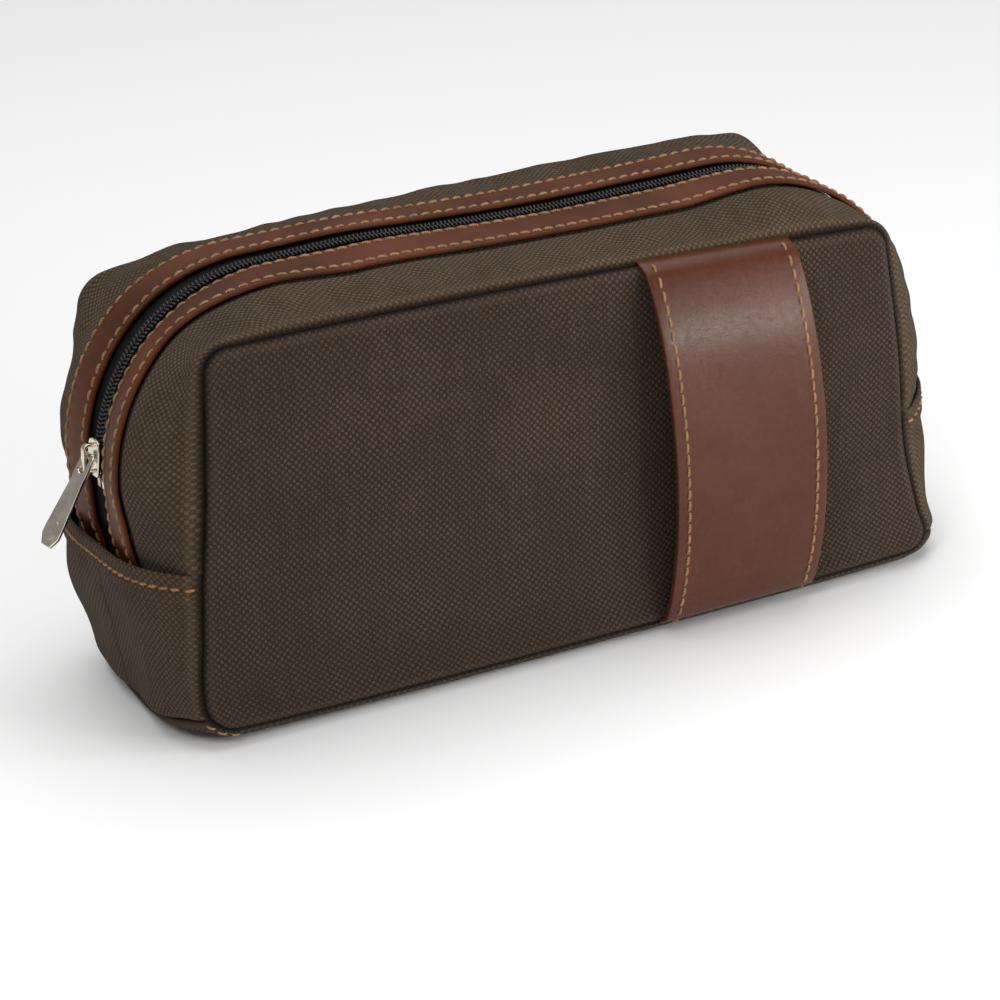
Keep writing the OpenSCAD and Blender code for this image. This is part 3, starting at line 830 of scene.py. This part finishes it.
def seamed(raw, q, seam, height):
    """Adds height along the normal of a sheet whose first column is its seam, and turns that edge in.

    raw is rows by columns before it settles, q the distance from the crease of each column, and
    seam the (x, z) seam point of each row. The first column is the hidden allowance."""
    out = outward(seam)
    out3 = stacked(out[:, 0], 0.0, out[:, 1])[:, None]
    normal = grid_normals(raw)
    near = (1 - smooth(q / (2 * ROLL)))[None, :, None]
    direction = unit(mix(normal, np.broadcast_to(out3, normal.shape), near))
    depth = -roll_in(np.maximum(q, 0)) - np.where(q < 0, ALLOWANCE, 0)
    return settle(raw + direction * (depth[None, :] + height)[..., None])


def seam_columns(last_y, step):
    """Distances from the crease and depths |y| of columns from a panel's seam in to last_y."""
    crease_y = PANEL_Y - GROOVE
    count = int(round((crease_y - EDGE_ROWS[-1] - last_y) / step))
    q = np.concatenate([[-1], EDGE_ROWS, np.linspace(EDGE_ROWS[-1], crease_y - last_y, count + 1)[1:]])
    return q, crease_y - np.maximum(q, 0) - np.where(q < 0, ALLOWANCE, 0)


def facing_shift(u):
    """The facings stand wider apart round the left corner than over the rest of the zip."""
    return 2.0 * hump(u, -105, 55)


def make_gussets():
    for name, side in SIDES:
        u = np.linspace(-ZIP_END, ZIP_END, 331)
        q, y = seam_columns(16.0, 0.9)
        raw = arch(u[:, None], side * y[None, :])
        near = hump(q, 12, 11)[None, :] * smooth(q / 5)[None, :]
        pucker = 0.8 * Ripples(31 + side, 30)(raw * np.array([1, 0.4, 1])) + 0.4 * Ripples(41 + side, 13)(raw)
        from_facing = y[None, :] - (FACING_IN + FACING_W + facing_shift(u)[:, None])
        furrow = -0.9 * (1 - smooth((from_facing - 0.4) / 1.8))
        flat_q = np.maximum(q, 0)
        height = pucker * near + shoulder(flat_q)[None, :] + furrow
        height = height + seam_pucker(raw, flat_q[None, :], 71 + side)
        p = seamed(raw, q, arch_pair(u)[0], height)
        uv = stacked(u[:, None], (q - rolled_length(q))[None, :])
        # Along a facing's outer edge the canvas gets the crease's painted shade too, as the facing's painted
        # shadow, with the painted highlight just beyond it.
        edge = np.minimum(flat_q[None, :], np.maximum(from_facing, 0) + 0.6)
        piece = slab(f"{name}_zip_panel_canvas", p, uv, CANVAS_T, LIT_CANVAS_COPY, edge=edge)
        place_piece(piece, f"{name}_half", "canvas", f"{name}_zip_gusset")
        inner = p[::4, 3:] - grid_normals(p)[::4, 3:] * 2.4
        piece = slab(f"{name}_zip_panel_lining", inner, uv[::4, 3:], LINING_T, LINING)
        place_piece(piece, f"{name}_half", "lining", f"{name}_gusset_lining")


def make_facings():
    for name, side in SIDES:
        u = np.arange(-ZIP_END + 1, ZIP_END - 1, 1.6)
        section = rounded_section(FACING_IN, FACING_IN + FACING_W, FACING_LOW, FACING_LOW + LEATHER_T, 0.55)
        piece = arch_bar(f"{name}_facing_leather", side, section, u, LEATHER, facing_shift(u))
        place_piece(piece, f"{name}_half", "leather", f"{name}_zip_facing")
        for row, y in (("inner", FACING_IN + 1.9), ("outer", FACING_IN + FACING_W - 2.2)):
            count = int((2 * ZIP_END - 8) / STITCH_PITCH)
            u = (np.arange(count) - (count - 1) / 2) * STITCH_PITCH
            p, normal, along = arch_frames(u, side * (y + facing_shift(u)))
            piece = stitches(f"{name}_facing_thread_{row}", p + normal * (FACING_LOW + LEATHER_T), normal,
                             along, STITCH_LEAN * side)
            place_piece(piece, f"{name}_half", "thread", f"{name}_facing_stitching_{row}")


COIL_PITCH = 1.45
COIL_SIDES = 7
COIL_STEPS = 12
COIL_WIRE = 0.40


def make_zip():
    for name, side in SIDES:
        section = rounded_section(0.7, 15.2, -TAPE_DROP - TAPE_T, -TAPE_DROP, 0.3, 2)
        piece = arch_bar(f"{name}_tape_cloth", side, section, np.arange(-ZIP_END + 2, ZIP_END - 2, 2.0), TAPE)
        place_piece(piece, f"{name}_half", "zip_tape", f"{name}_zip_tape")
        piece = make_coil(name, side)
        place_piece(piece, f"{name}_half", "zip_coil", f"{name}_zip_coil")


def make_coil(name, side):
    """One row of the zip: a thread wound in flat turns that mesh with the other row's."""
    u0, u1 = -SIDE_START - 1, ZIP_END - TUCK - 6
    count = int((u1 - u0) / COIL_PITCH) * COIL_STEPS + 1
    phase = np.arange(count) * 2 * math.pi / COIL_STEPS
    u = u0 + phase / (2 * math.pi) * COIL_PITCH + (COIL_PITCH / 2 if side > 0 else 0)
    y = 1.62 - 1.1 * np.cos(phase)
    d = -TAPE_DROP + 1.1 + 0.6 * np.sin(phase)
    p, normal, along = arch_frames(u, side * y)
    centre = p + normal * d[:, None]
    a = unit(np.cross(unit(np.gradient(centre, axis=0)), along))
    b = np.cross(unit(np.gradient(centre, axis=0)), a)
    angle = np.arange(COIL_SIDES) * 2 * math.pi / COIL_SIDES
    ring = a[:, None] * np.cos(angle)[None, :, None] + b[:, None] * np.sin(angle)[None, :, None]
    return sweep(f"{name}_coil_teeth", centre[:, None] + COIL_WIRE * ring, COIL, u)


END_SEAM = 0.82               # share of the way down an end where it meets the base's canvas
END_SEAM_AT = END_SEAM * END_LENGTH
END_STEP = 1.8
HEM_FOLD = 9.0                # height of the hem's turned-over strip
HEM_THREAD = 5.2              # distance of the hem's stitches below its edge
TAIL = 0.8                    # part of the base's lip that an end's lining reaches down into
TAIL_INSET = 2.9              # depth of that part of the lining below the canvas surface

def end_canvas(side, half):
    """Half of an end's canvas, from its hem to the base: points, cloth map, distances from a seam."""
    length = np.concatenate([np.linspace(0, 2, 5)[:-1], np.linspace(2, 12, 18)[:-1],
                             np.linspace(12, END_SEAM_AT - 3, 34)[:-1],
                             END_SEAM_AT - np.array([3, 2.2, 1.5, 0.9, 0.4, 0.0])])
    w = length / END_LENGTH
    q, y = seam_columns(0.0, END_STEP)
    raw = end_surface(w[:, None], half * y[None, :], side)
    fold = 0.95 * (1 - smooth((length - HEM_FOLD) / 1.4)) * np.sqrt(np.clip(length / 0.9, 0, 1))
    furrow = -0.5 * hump(length, HEM_THREAD, 1.0)
    foot = -roll_in(END_SEAM_AT - length)
    pucker = 0.7 * Ripples(51 + side, 30)(raw) + 0.8 * Ripples(57 + side, 55)(raw)
    flat_q = np.maximum(q, 0)
    below_hem = smooth((length - 8) / 14)[:, None]
    height = shoulder(flat_q)[None, :] + (fold + furrow + foot)[:, None] * smooth(flat_q / 3)[None, :]
    height = height + pucker * smooth(flat_q / 18)[None, :] * below_hem
    height = height + seam_pucker(raw, flat_q[None, :], 81 + side) * below_hem
    p = seamed(raw, q, end_pair(w, side)[0], height)
    uv = stacked(half * (y + rolled_length(q))[None, :], length[:, None])
    # The distances from a side seam or from the base's seam set where the canvas paints shade in the crease
    # and a highlight beside it.
    return p, uv, np.minimum(flat_q[None, :], (END_SEAM_AT - length)[:, None])

def lining_tail(side, half):
    """Rows of an end's lining that hang inside the base's turned-up lip, so that no gap opens there."""
    length = END_SEAM_AT + np.linspace(0.0, TAIL * (1 - END_SEAM) * END_LENGTH, 6)
    w = length / END_LENGTH
    q, y = seam_columns(0.0, END_STEP)
    raw = end_surface(w[:, None], half * y[None, :], side)
    height = np.broadcast_to(shoulder(np.maximum(q, 0))[None, :], raw.shape[:2])
    p = seamed(raw, q, end_pair(w, side)[0], height)
    return p - grid_normals(p) * TAIL_INSET, stacked(half * y[None, :], length[:, None])

def make_ends():
    for end, side in ENDS:
        for name, half in SIDES:
            p, uv, edge = end_canvas(side, half)
            piece = slab(f"end_{end}_{name}_canvas", p, uv, 1.5, LIT_CANVAS_COPY, edge=edge)
            place_piece(piece, None, "canvas", f"end_panel_{end}")
            follow_panel(piece)
            tail, tail_uv = lining_tail(side, half)
            inner = np.concatenate([(p - grid_normals(p) * 2.0)[2:-4:3, 3:], tail[:, 3:]])
            inner_uv = np.concatenate([uv[2:-4:3, 3:], tail_uv[:, 3:]])
            piece = slab(f"end_{end}_{name}_lining", inner, inner_uv, LINING_T, LINING)
            place_piece(piece, None, "lining", f"end_lining_{end}")
            follow_panel(piece)
            make_hem_thread(end, side, name, half)

def follow_panel(piece):
    """Bakes an end piece's transform into its points."""
    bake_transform(piece)


def end_frames(w, y, side):
    """Settled points on an end, with outward normals and the direction along the hem."""
    return surface_frames(lambda y, w: end_surface(w, y, side), y, w, 0.4, 0.01)

def make_hem_thread(end, side, name, half):
    count = 13
    y = half * (SEAM_Y + 0.3) * (1 - (np.arange(count) + 0.5) / count)
    p, normal, along = end_frames(np.full(count, HEM_THREAD / END_LENGTH), y, side)
    piece = stitches(f"hem_thread_{end}_{name}", p + normal * 0.55, normal, along, STITCH_LEAN * half * side)
    place_piece(piece, None, "thread", f"hem_stitching_{end}")
    follow_panel(piece)


def make_corner_thread():
    """The few tan stitches that show where the front seam turns under the left end."""
    w = np.linspace(0.86, 0.98, 3)
    seam = end_pair(w, -1)[0]
    p = settle(stacked(seam[:, 0], 0.6 - SEAM_Y, seam[:, 1]))
    along = unit(np.gradient(p, axis=0))
    normal = facing_out(unit(np.cross(along, [0.0, 1.0, 0.0])), p)
    normal = unit(normal + [0.0, -0.7, 0.0])
    piece = stitches("corner_thread", p + normal * 0.2, normal, along, 0.3, 3.2, 0.4, 0.4)
    place_piece(piece, "base", "thread")


MID_BASE = 20.0               # distance from an end that stands for all of the flat part
FLOOR_LIFT = 4.6              # height of the floor's lining over the canvas, with the board between

def make_base():
    """The base's canvas: flat underneath, and turned up at both ends to meet the end panels."""
    gap_len = np.array([0, 0.4, 0.9, 1.5, 2.2, 3.0])
    rise = np.concatenate([gap_len, np.linspace(3, (1 - END_SEAM) * END_LENGTH, 5)[1:]])
    w_up = END_SEAM + rise / END_LENGTH
    q, y_abs = seam_columns(0.0, 2.4)
    y = np.concatenate([-y_abs, y_abs[-2::-1]])
    q = np.concatenate([q, q[-2::-1]])
    left = end_surface(w_up[:, None], y[None, :], -1)
    right = end_surface(w_up[::-1, None], y[None, :], 1)
    t = np.linspace(0, 1, 90)[1:-1, None, None]
    flat = mix(left[-1][None], right[0][None], t)
    raw = np.concatenate([left, flat, right])
    from_end = np.concatenate([rise, np.full(len(t), MID_BASE), rise[::-1]])
    flat_q = np.maximum(q, 0)
    height = -roll_in(from_end)[:, None] * smooth(flat_q / 3)[None, :] + shoulder(flat_q)[None, :] * 0.6
    # The seam stands at the panel's bottom edge, and the canvas rounds down from it to the table.
    corner = end_pair(np.array([1.0]), -1)[0]
    bottom = corner * (1 - 2 * t[:, 0]) + np.array([0, 2 * corner[0, 1]]) * t[:, 0]
    seam = np.concatenate([end_pair(w_up, -1)[0], bottom, end_pair(w_up[::-1], 1)[0]])
    rounded = SEAM_BOTTOM * (1 - smooth(flat_q / 7))[None, :]
    raw[..., 2] = np.where(from_end[:, None] >= MID_BASE, rounded, raw[..., 2])
    inset = np.where(q < 0, ALLOWANCE, 0) + roll_in(flat_q)
    p = raw.copy()
    out = outward(seam)
    p[..., 0] -= out[:, None, 0] * inset[None, :]
    p[..., 2] -= out[:, None, 1] * inset[None, :]
    normal = grid_normals(raw)
    p = settle(p + normal * height[..., None])
    p[..., 2] = np.maximum(p[..., 2], 0.03)
    uv = stacked(np.linspace(-150, 150, len(raw))[:, None], y[None, :])
    # Distances from a seam or an end, where the canvas paints shade in the crease and a highlight beside it.
    edge = np.minimum(flat_q[None, :], from_end[:, None])
    piece = slab("base_canvas", p, uv, 1.6, LIT_CANVAS_COPY, edge=edge)
    place_piece(piece, "base", "canvas", "base_panel", "base_board")
    # The floor's lining lies on the board, between the lips, and thickens downward.
    skip = len(rise) + 3
    top = p[skip:-skip:3, 6:-6:3] + np.array([0, 0, FLOOR_LIFT])
    piece = slab("base_lining_cloth", top, uv[skip:-skip:3, 6:-6:3], LINING_T, LINING, (0, 0, -50))
    place_piece(piece, "base", "lining", "base_lining")


BINDING_W = 6.0
BINDING_T = 1.2


def make_bindings():
    """Black tape bound over the raw seam inside each panel."""
    inset = GROOVE + ALLOWANCE + 0.6
    for name, side in SIDES:
        loops = []
        for deep, thick in ((0, 0.3), (0.3, 0), (BINDING_W - 0.3, 0), (BINDING_W, 0.3), (BINDING_W, 0.9),
                            (BINDING_W - 0.3, BINDING_T), (0.3, BINDING_T), (0, 0.9)):
            outline = (resampled(line, np.linspace(0, 1, 60)) for line in panel_sides(inset + thick))
            loop = border_loop(*outline)
            y = side * (PANEL_Y - GROOVE - ALLOWANCE - 0.3 - deep)
            loops.append(settle(stacked(loop[:, 0], y, loop[:, 1])))
        rings = np.stack(loops, 1)
        rows, cols = rings.shape[:2]
        faces = grid_faces(rows + 1, cols, ring=True) % (rows * cols)
        if ring_volume(rings) < 0:
            faces = faces[:, ::-1]
        uv = stacked(np.arange(rows)[:, None] * 3.3, np.arange(cols)[None, :] * 1.5)
        piece = make_mesh(f"{name}_binding_tape", rings.reshape(-1, 3), faces, uv.reshape(-1, 2), TAPE)
        place_piece(piece, f"{name}_half", "zip_tape", f"{name}_seam_binding")


# ---- Hand band ----------------------------------------------------------------------------------

BAND_X0, BAND_X1 = BAND_LOW[0], BAND_HIGH[0]
BAND_Z0, BAND_Z1 = SEAM_BOTTOM + 0.6, SEAM_TOP - 0.8
BAND_BOW = -BAND_LOW[1] - PANEL_Y
BACKING_T = 1.25
BAND_THREAD_IN = 4.0
SLACK = 3.0                   # the front sinks in behind the band, which leaves it bowed further out
BAND_SHIFT = 1.2              # how far the band stands to the right of the CAD's


def band_point(x, t):
    """Outer face of the band at height fraction t; its ends dive into the top and bottom seams."""
    z = mix(BAND_Z0, BAND_Z1, t)
    bow = np.clip(4 * t * (1 - t), 0, 1)
    seam = settle(stacked(x, -PANEL_Y, z))
    out = (BAND_BOW + SLACK) * bow ** 0.72 + 1.0 - 3.4 * (1 - smooth(bow / 0.10))
    level = settle(stacked(x * 0, -PANEL_Y, z))[..., 1]
    return stacked(x + BAND_SHIFT, level - out, seam[..., 2])


def band_frames(x, t):
    x, t = np.broadcast_arrays(np.asarray(x, float), np.asarray(t, float))
    step = 0.004
    p = band_point(x, t)
    up = unit(band_point(x, t + step) - band_point(x, t - step))
    side = np.broadcast_to(np.array([1.0, 0, 0]), p.shape)
    return p, facing_out(unit(np.cross(side, up)), p), up


def make_band():
    t = np.linspace(0, 1, 90)
    for name, x0, x1, d0, d1, r, material, node in (
            ("leather_band_strap", BAND_X0, BAND_X1, -LEATHER_T, 0.0, 0.5, BAND_LEATHER, "leather_band"),
            ("band_backing_strap", BAND_X0 + 0.5, BAND_X1 - 0.5, -LEATHER_T - BACKING_T, -LEATHER_T - 0.05,
             0.35, EDGE_LEATHER, "band_backing")):
        section = rounded_section(x0, x1, d0, d1, r, spans=18)
        p, normal, _ = band_frames(section[None, :, 0], t[:, None])
        piece = sweep(name, p + normal * section[None, :, 1, None], material, t * (BAND_Z1 - BAND_Z0))
        place_piece(piece, "front_half", "leather", node)
    for name, x in (("left", BAND_X0 + BAND_THREAD_IN), ("right", BAND_X1 - BAND_THREAD_IN)):
        count = 31
        p, normal, up = band_frames(np.full(count, x), (np.arange(count) + 0.5) / count)
        piece = stitches(f"band_thread_{name}", p, normal, up, -0.12)
        place_piece(piece, "front_half", "thread", f"band_stitching_{name}")


# ---- Metal --------------------------------------------------------------------------------------

PULL_ANGLE = 34.0             # it hangs against the hem, and has swung a little to one side
PULL_TWIST = 22.0
PULL_LENGTH = 31.5
PULL_T = 1.5
SLIDER_ANGLE = 6.0


def plate(name, outline, holes, thickness, bevel):
    """A flat bevelled plate from (across, along) outlines, as points, faces and a dummy map."""
    curve = bpy.data.curves.new(name, "CURVE")
    curve.dimensions = "2D"
    curve.fill_mode = "BOTH"
    curve.extrude = (thickness / 2 - bevel) * MM
    curve.bevel_depth = bevel * MM
    curve.bevel_resolution = 2
    for loop in [outline] + holes:
        spline = curve.splines.new("POLY")
        spline.points.add(len(loop) - 1)
        spline.use_cyclic_u = True
        for point, (a, b) in zip(spline.points, loop):
            point.co = (a * MM, b * MM, 0, 1)
    scratch = bpy.data.objects.new(name, curve)
    mesh = bpy.data.meshes.new_from_object(scratch)
    points = np.array([v.co[:] for v in mesh.vertices]) / MM
    faces = [list(f.vertices) for f in mesh.polygons]
    bpy.data.objects.remove(scratch)
    return points, faces, points[:, :2]


def ellipse(cy, cz, ry, rz, count=32):
    a = np.arange(count) * 2 * math.pi / count
    return [(cy + ry * math.cos(t), cz + rz * math.sin(t)) for t in a]


def rounded_slot(half_w, z0, z1, count=10):
    """A slot with round ends between heights z0 and z1."""
    a = np.linspace(0, math.pi, count)
    top = [(half_w * math.cos(t), z1 - half_w + half_w * math.sin(t)) for t in a]
    return top + [(half_w * math.cos(t + math.pi), z0 + half_w + half_w * math.sin(t + math.pi)) for t in a]


def mirrored(half):
    """A closed outline from its right half, given as (across, along) pairs."""
    return half + [(-y, z) for y, z in reversed(half)]

def make_pull():
    bevel = 0.42
    half = [(2.4, 1.9), (2.9, 0.8), (2.9, -5.0), (2.7, -8.0), (3.8, -25.0), (3.8, -28.3), (2.2, -PULL_LENGTH)]
    outline = [(y - bevel * np.sign(y), z + (bevel if z < -20 else -bevel if z > 0 else 0))
               for y, z in mirrored(half)]
    points, faces, uv = plate("pull", outline, [rounded_slot(1.45, -5.6, 0.9)], PULL_T, bevel)
    parts = [(points, faces, uv)]
    for face in (-1, 1):
        rings = []
        for grow, rise in ((1.0, -0.3), (1.0, 0.16), (0.88, 0.30), (0.7, 0.24), (0.45, 0.18), (0.15, 0.17)):
            loop = np.array(ellipse(0, -26.0, 2.2 * grow, 3.3 * grow))
            rings.append(np.column_stack([loop, np.full(len(loop), face * (PULL_T / 2 + rise))]))
        parts.append(sweep_parts(np.array(rings), np.arange(len(rings))))
    # The plate's (across, along, thickness) go to (Y, Z, X) of a tab that hangs straight down.
    turn = np.array(Matrix.Rotation(math.radians(PULL_ANGLE), 3, "Y")
                    @ Matrix.Rotation(math.radians(PULL_TWIST), 3, "Z"))
    placed = []
    for part_points, part_faces, part_uv in parts:
        hanging = np.stack([part_points[:, 2], part_points[:, 0], part_points[:, 1]], -1)
        placed.append((hanging @ turn.T + PIVOT, part_faces, part_uv))
    piece = joined("pull_bar", placed, NICKEL)
    sharpen(piece)
    place_piece(piece, "zip_pull", "metal", "pull_tab")


def sharpen(piece):
    """Keeps edges of more than 35 degrees crisp on a metal piece."""
    piece.data.set_sharp_from_angle(angle=math.radians(35))


SLIDER_LOW, SLIDER_HIGH = -2.95, 1.22           # heights of the plates' faces that run on the zip
SLIDER_T = 1.3
BAIL_REACH = 4.3              # from the slider's middle to a foot of its bail
BAIL_RISE = 3.6
BAIL_R = 1.5

def slider_place(points):
    """Bends flat slider points (across, along, height) round the zip's left corner."""
    across, along, height = points[..., 0], points[..., 1], points[..., 2]
    angle = math.radians(SLIDER_ANGLE) + along / ZIP_R
    r = ZIP_R + height
    return stacked(-ZIP_CX - r * np.cos(angle), across, ZIP_CZ + r * np.sin(angle))

def make_slider():
    """The slider's body: two plates, a guide along each side of the upper one, and a post between."""
    shield = [(2.2, -5.6), (3.2, -4.6), (4.0, -1.0), (4.3, 3.2), (3.6, 5.2), (1.6, 5.9)]
    parts = []
    for middle in (SLIDER_LOW - SLIDER_T / 2, SLIDER_HIGH + SLIDER_T / 2):
        points, faces, uv = plate("slider", mirrored(shield), [], SLIDER_T, 0.35)
        parts.append((slider_place(points + np.array([0, 0, middle])), faces, uv))
    for side in (-1, 1):
        section = rounded_section(-0.45, 0.45, SLIDER_HIGH - 1.0, SLIDER_HIGH + 0.4, 0.2, spans=1)
        path = np.array([(3.2, -4.4), (3.75, -1.0), (3.95, 3.0)])
        rings = np.array([[(side * (y + s), z, d) for s, d in section] for y, z in path])
        parts.append(sweep_parts(slider_place(rings), path[:, 1]))
    post = np.array([[(0.4, z, d), (-0.4, z, d), (-0.4, z + 3, d), (0.4, z + 3, d)]
                     for z, d in ((2.2, SLIDER_LOW - 0.5), (2.2, SLIDER_HIGH + 0.5))], float)
    parts.append(sweep_parts(slider_place(post), [0, 1]))
    piece = joined("slider_shell", parts, NICKEL)
    sharpen(piece)
    place_piece(piece, "zip_slider", "metal", "slider_body")

def make_bail():
    """The bail, which holds the pull: a flat strap bent up from one end of the slider to the other."""
    foot = SLIDER_HIGH + SLIDER_T - 0.3
    top = foot + BAIL_RISE
    reach, r = BAIL_REACH, BAIL_R
    a = np.linspace(0, math.pi / 2, 6)
    path = [(-reach, foot)] + [(-reach + r - r * math.cos(v), top - r + r * math.sin(v)) for v in a]
    path += [(reach - r + r * math.sin(v), top - r + r * math.cos(v)) for v in a] + [(reach, foot)]
    path = np.array(path)
    tangent = unit(np.gradient(path, axis=0))
    normal = np.stack([-tangent[:, 1], tangent[:, 0]], -1)
    section = rounded_section(-1.1, 1.1, -0.5, 0.5, 0.3, spans=2)
    rings = np.array([[(across, *(centre + n * d)) for across, d in section]
                      for centre, n in zip(path, normal)])
    piece = sweep("slider_bail", slider_place(rings), NICKEL, np.arange(len(path)))
    sharpen(piece)
    place_piece(piece, "zip_slider", "metal", "slider_bridge")

def dress_stops():
    """The zip's three stops keep their CAD shape, in nickel."""
    for node in ("zip_bottom_stop", "front_top_stop", "back_top_stop"):
        piece = frame["nodes"][node]
        piece.data.materials.clear()
        piece.data.materials.append(NICKEL)


# ---- Floor, lights and camera -------------------------------------------------------------------

def make_floor():
    mesh = bpy.data.meshes.new("floor")
    r = 6.0
    mesh.from_pydata([(-r, -r, 0), (r, -r, 0), (r, r, 0), (-r, r, 0)], [], [(0, 1, 2, 3)])
    floor = add_object("floor", mesh)
    mesh.materials.append(Graph("floor").set(Base_Color=(0.93, 0.93, 0.93), Roughness=0.9))


def area_light(name, place, target, size, radiance):
    data = bpy.data.lights.new(name, "AREA")
    data.shape = "RECTANGLE"
    data.size, data.size_y = size
    data.energy = radiance * math.pi * size[0] * size[1]
    light = add_object(name, data)
    light.location = place
    light.rotation_euler = (Vector(target) - Vector(place)).to_track_quat("-Z", "Y").to_euler()


def make_lights():
    world = bpy.data.worlds.new("studio")
    bpy.context.scene.world = world
    world.use_nodes = True
    background = world.node_tree.nodes["Background"]
    background.inputs["Color"].default_value = (1, 1, 1, 1)
    background.inputs["Strength"].default_value = 0.3
    area_light("overhead", (0.1, 0.3, 1.8), (0, 0.05, 0.05), (2.0, 2.0), 2.1)
    area_light("window", (0.44, -0.88, 0.27), (0.06, -0.05, 0.10), (0.34, 0.13), 21.0)
    area_light("side", (0.50, -0.45, 0.25), (0.10, -0.05, 0.07), (0.2, 0.2), 11.0)
    area_light("key", (-0.9, -1.0, 1.3), (0, 0, 0.07), (0.6, 0.6), 7.0)


CAMERA_AZIMUTH = -25.48
CAMERA_ELEVATION = 20.74
CAMERA_ROLL = -4.30
CAMERA_DISTANCE = 1.36288
CAMERA_TARGET = Vector((-0.00448, 0, 0.0402))
CAMERA_LENS = 144


def make_camera():
    data = bpy.data.cameras.new("camera")
    camera = add_object("camera", data)
    data.lens = CAMERA_LENS
    data.sensor_width = 36
    az, el, roll = (math.radians(v) for v in (CAMERA_AZIMUTH, CAMERA_ELEVATION, CAMERA_ROLL))
    back = Vector((math.sin(az) * math.cos(el), -math.cos(az) * math.cos(el), math.sin(el)))
    right = Vector((math.cos(az), math.sin(az), 0))
    up = back.cross(right)
    right, up = (math.cos(roll) * right + math.sin(roll) * up, math.cos(roll) * up - math.sin(roll) * right)
    turn = Matrix((right, up, back)).transposed().to_4x4()
    camera.matrix_world = Matrix.Translation(CAMERA_TARGET + back * CAMERA_DISTANCE) @ turn
    bpy.context.scene.camera = camera


make_camera()
make_floor()
make_lights()
make_panels()
make_gussets()
make_facings()
make_zip()
make_ends()
make_base()
make_corner_thread()
make_bindings()
make_band()
make_pull()
make_slider()
make_bail()
dress_stops()
bpy.context.scene.view_settings.view_transform = "Standard"
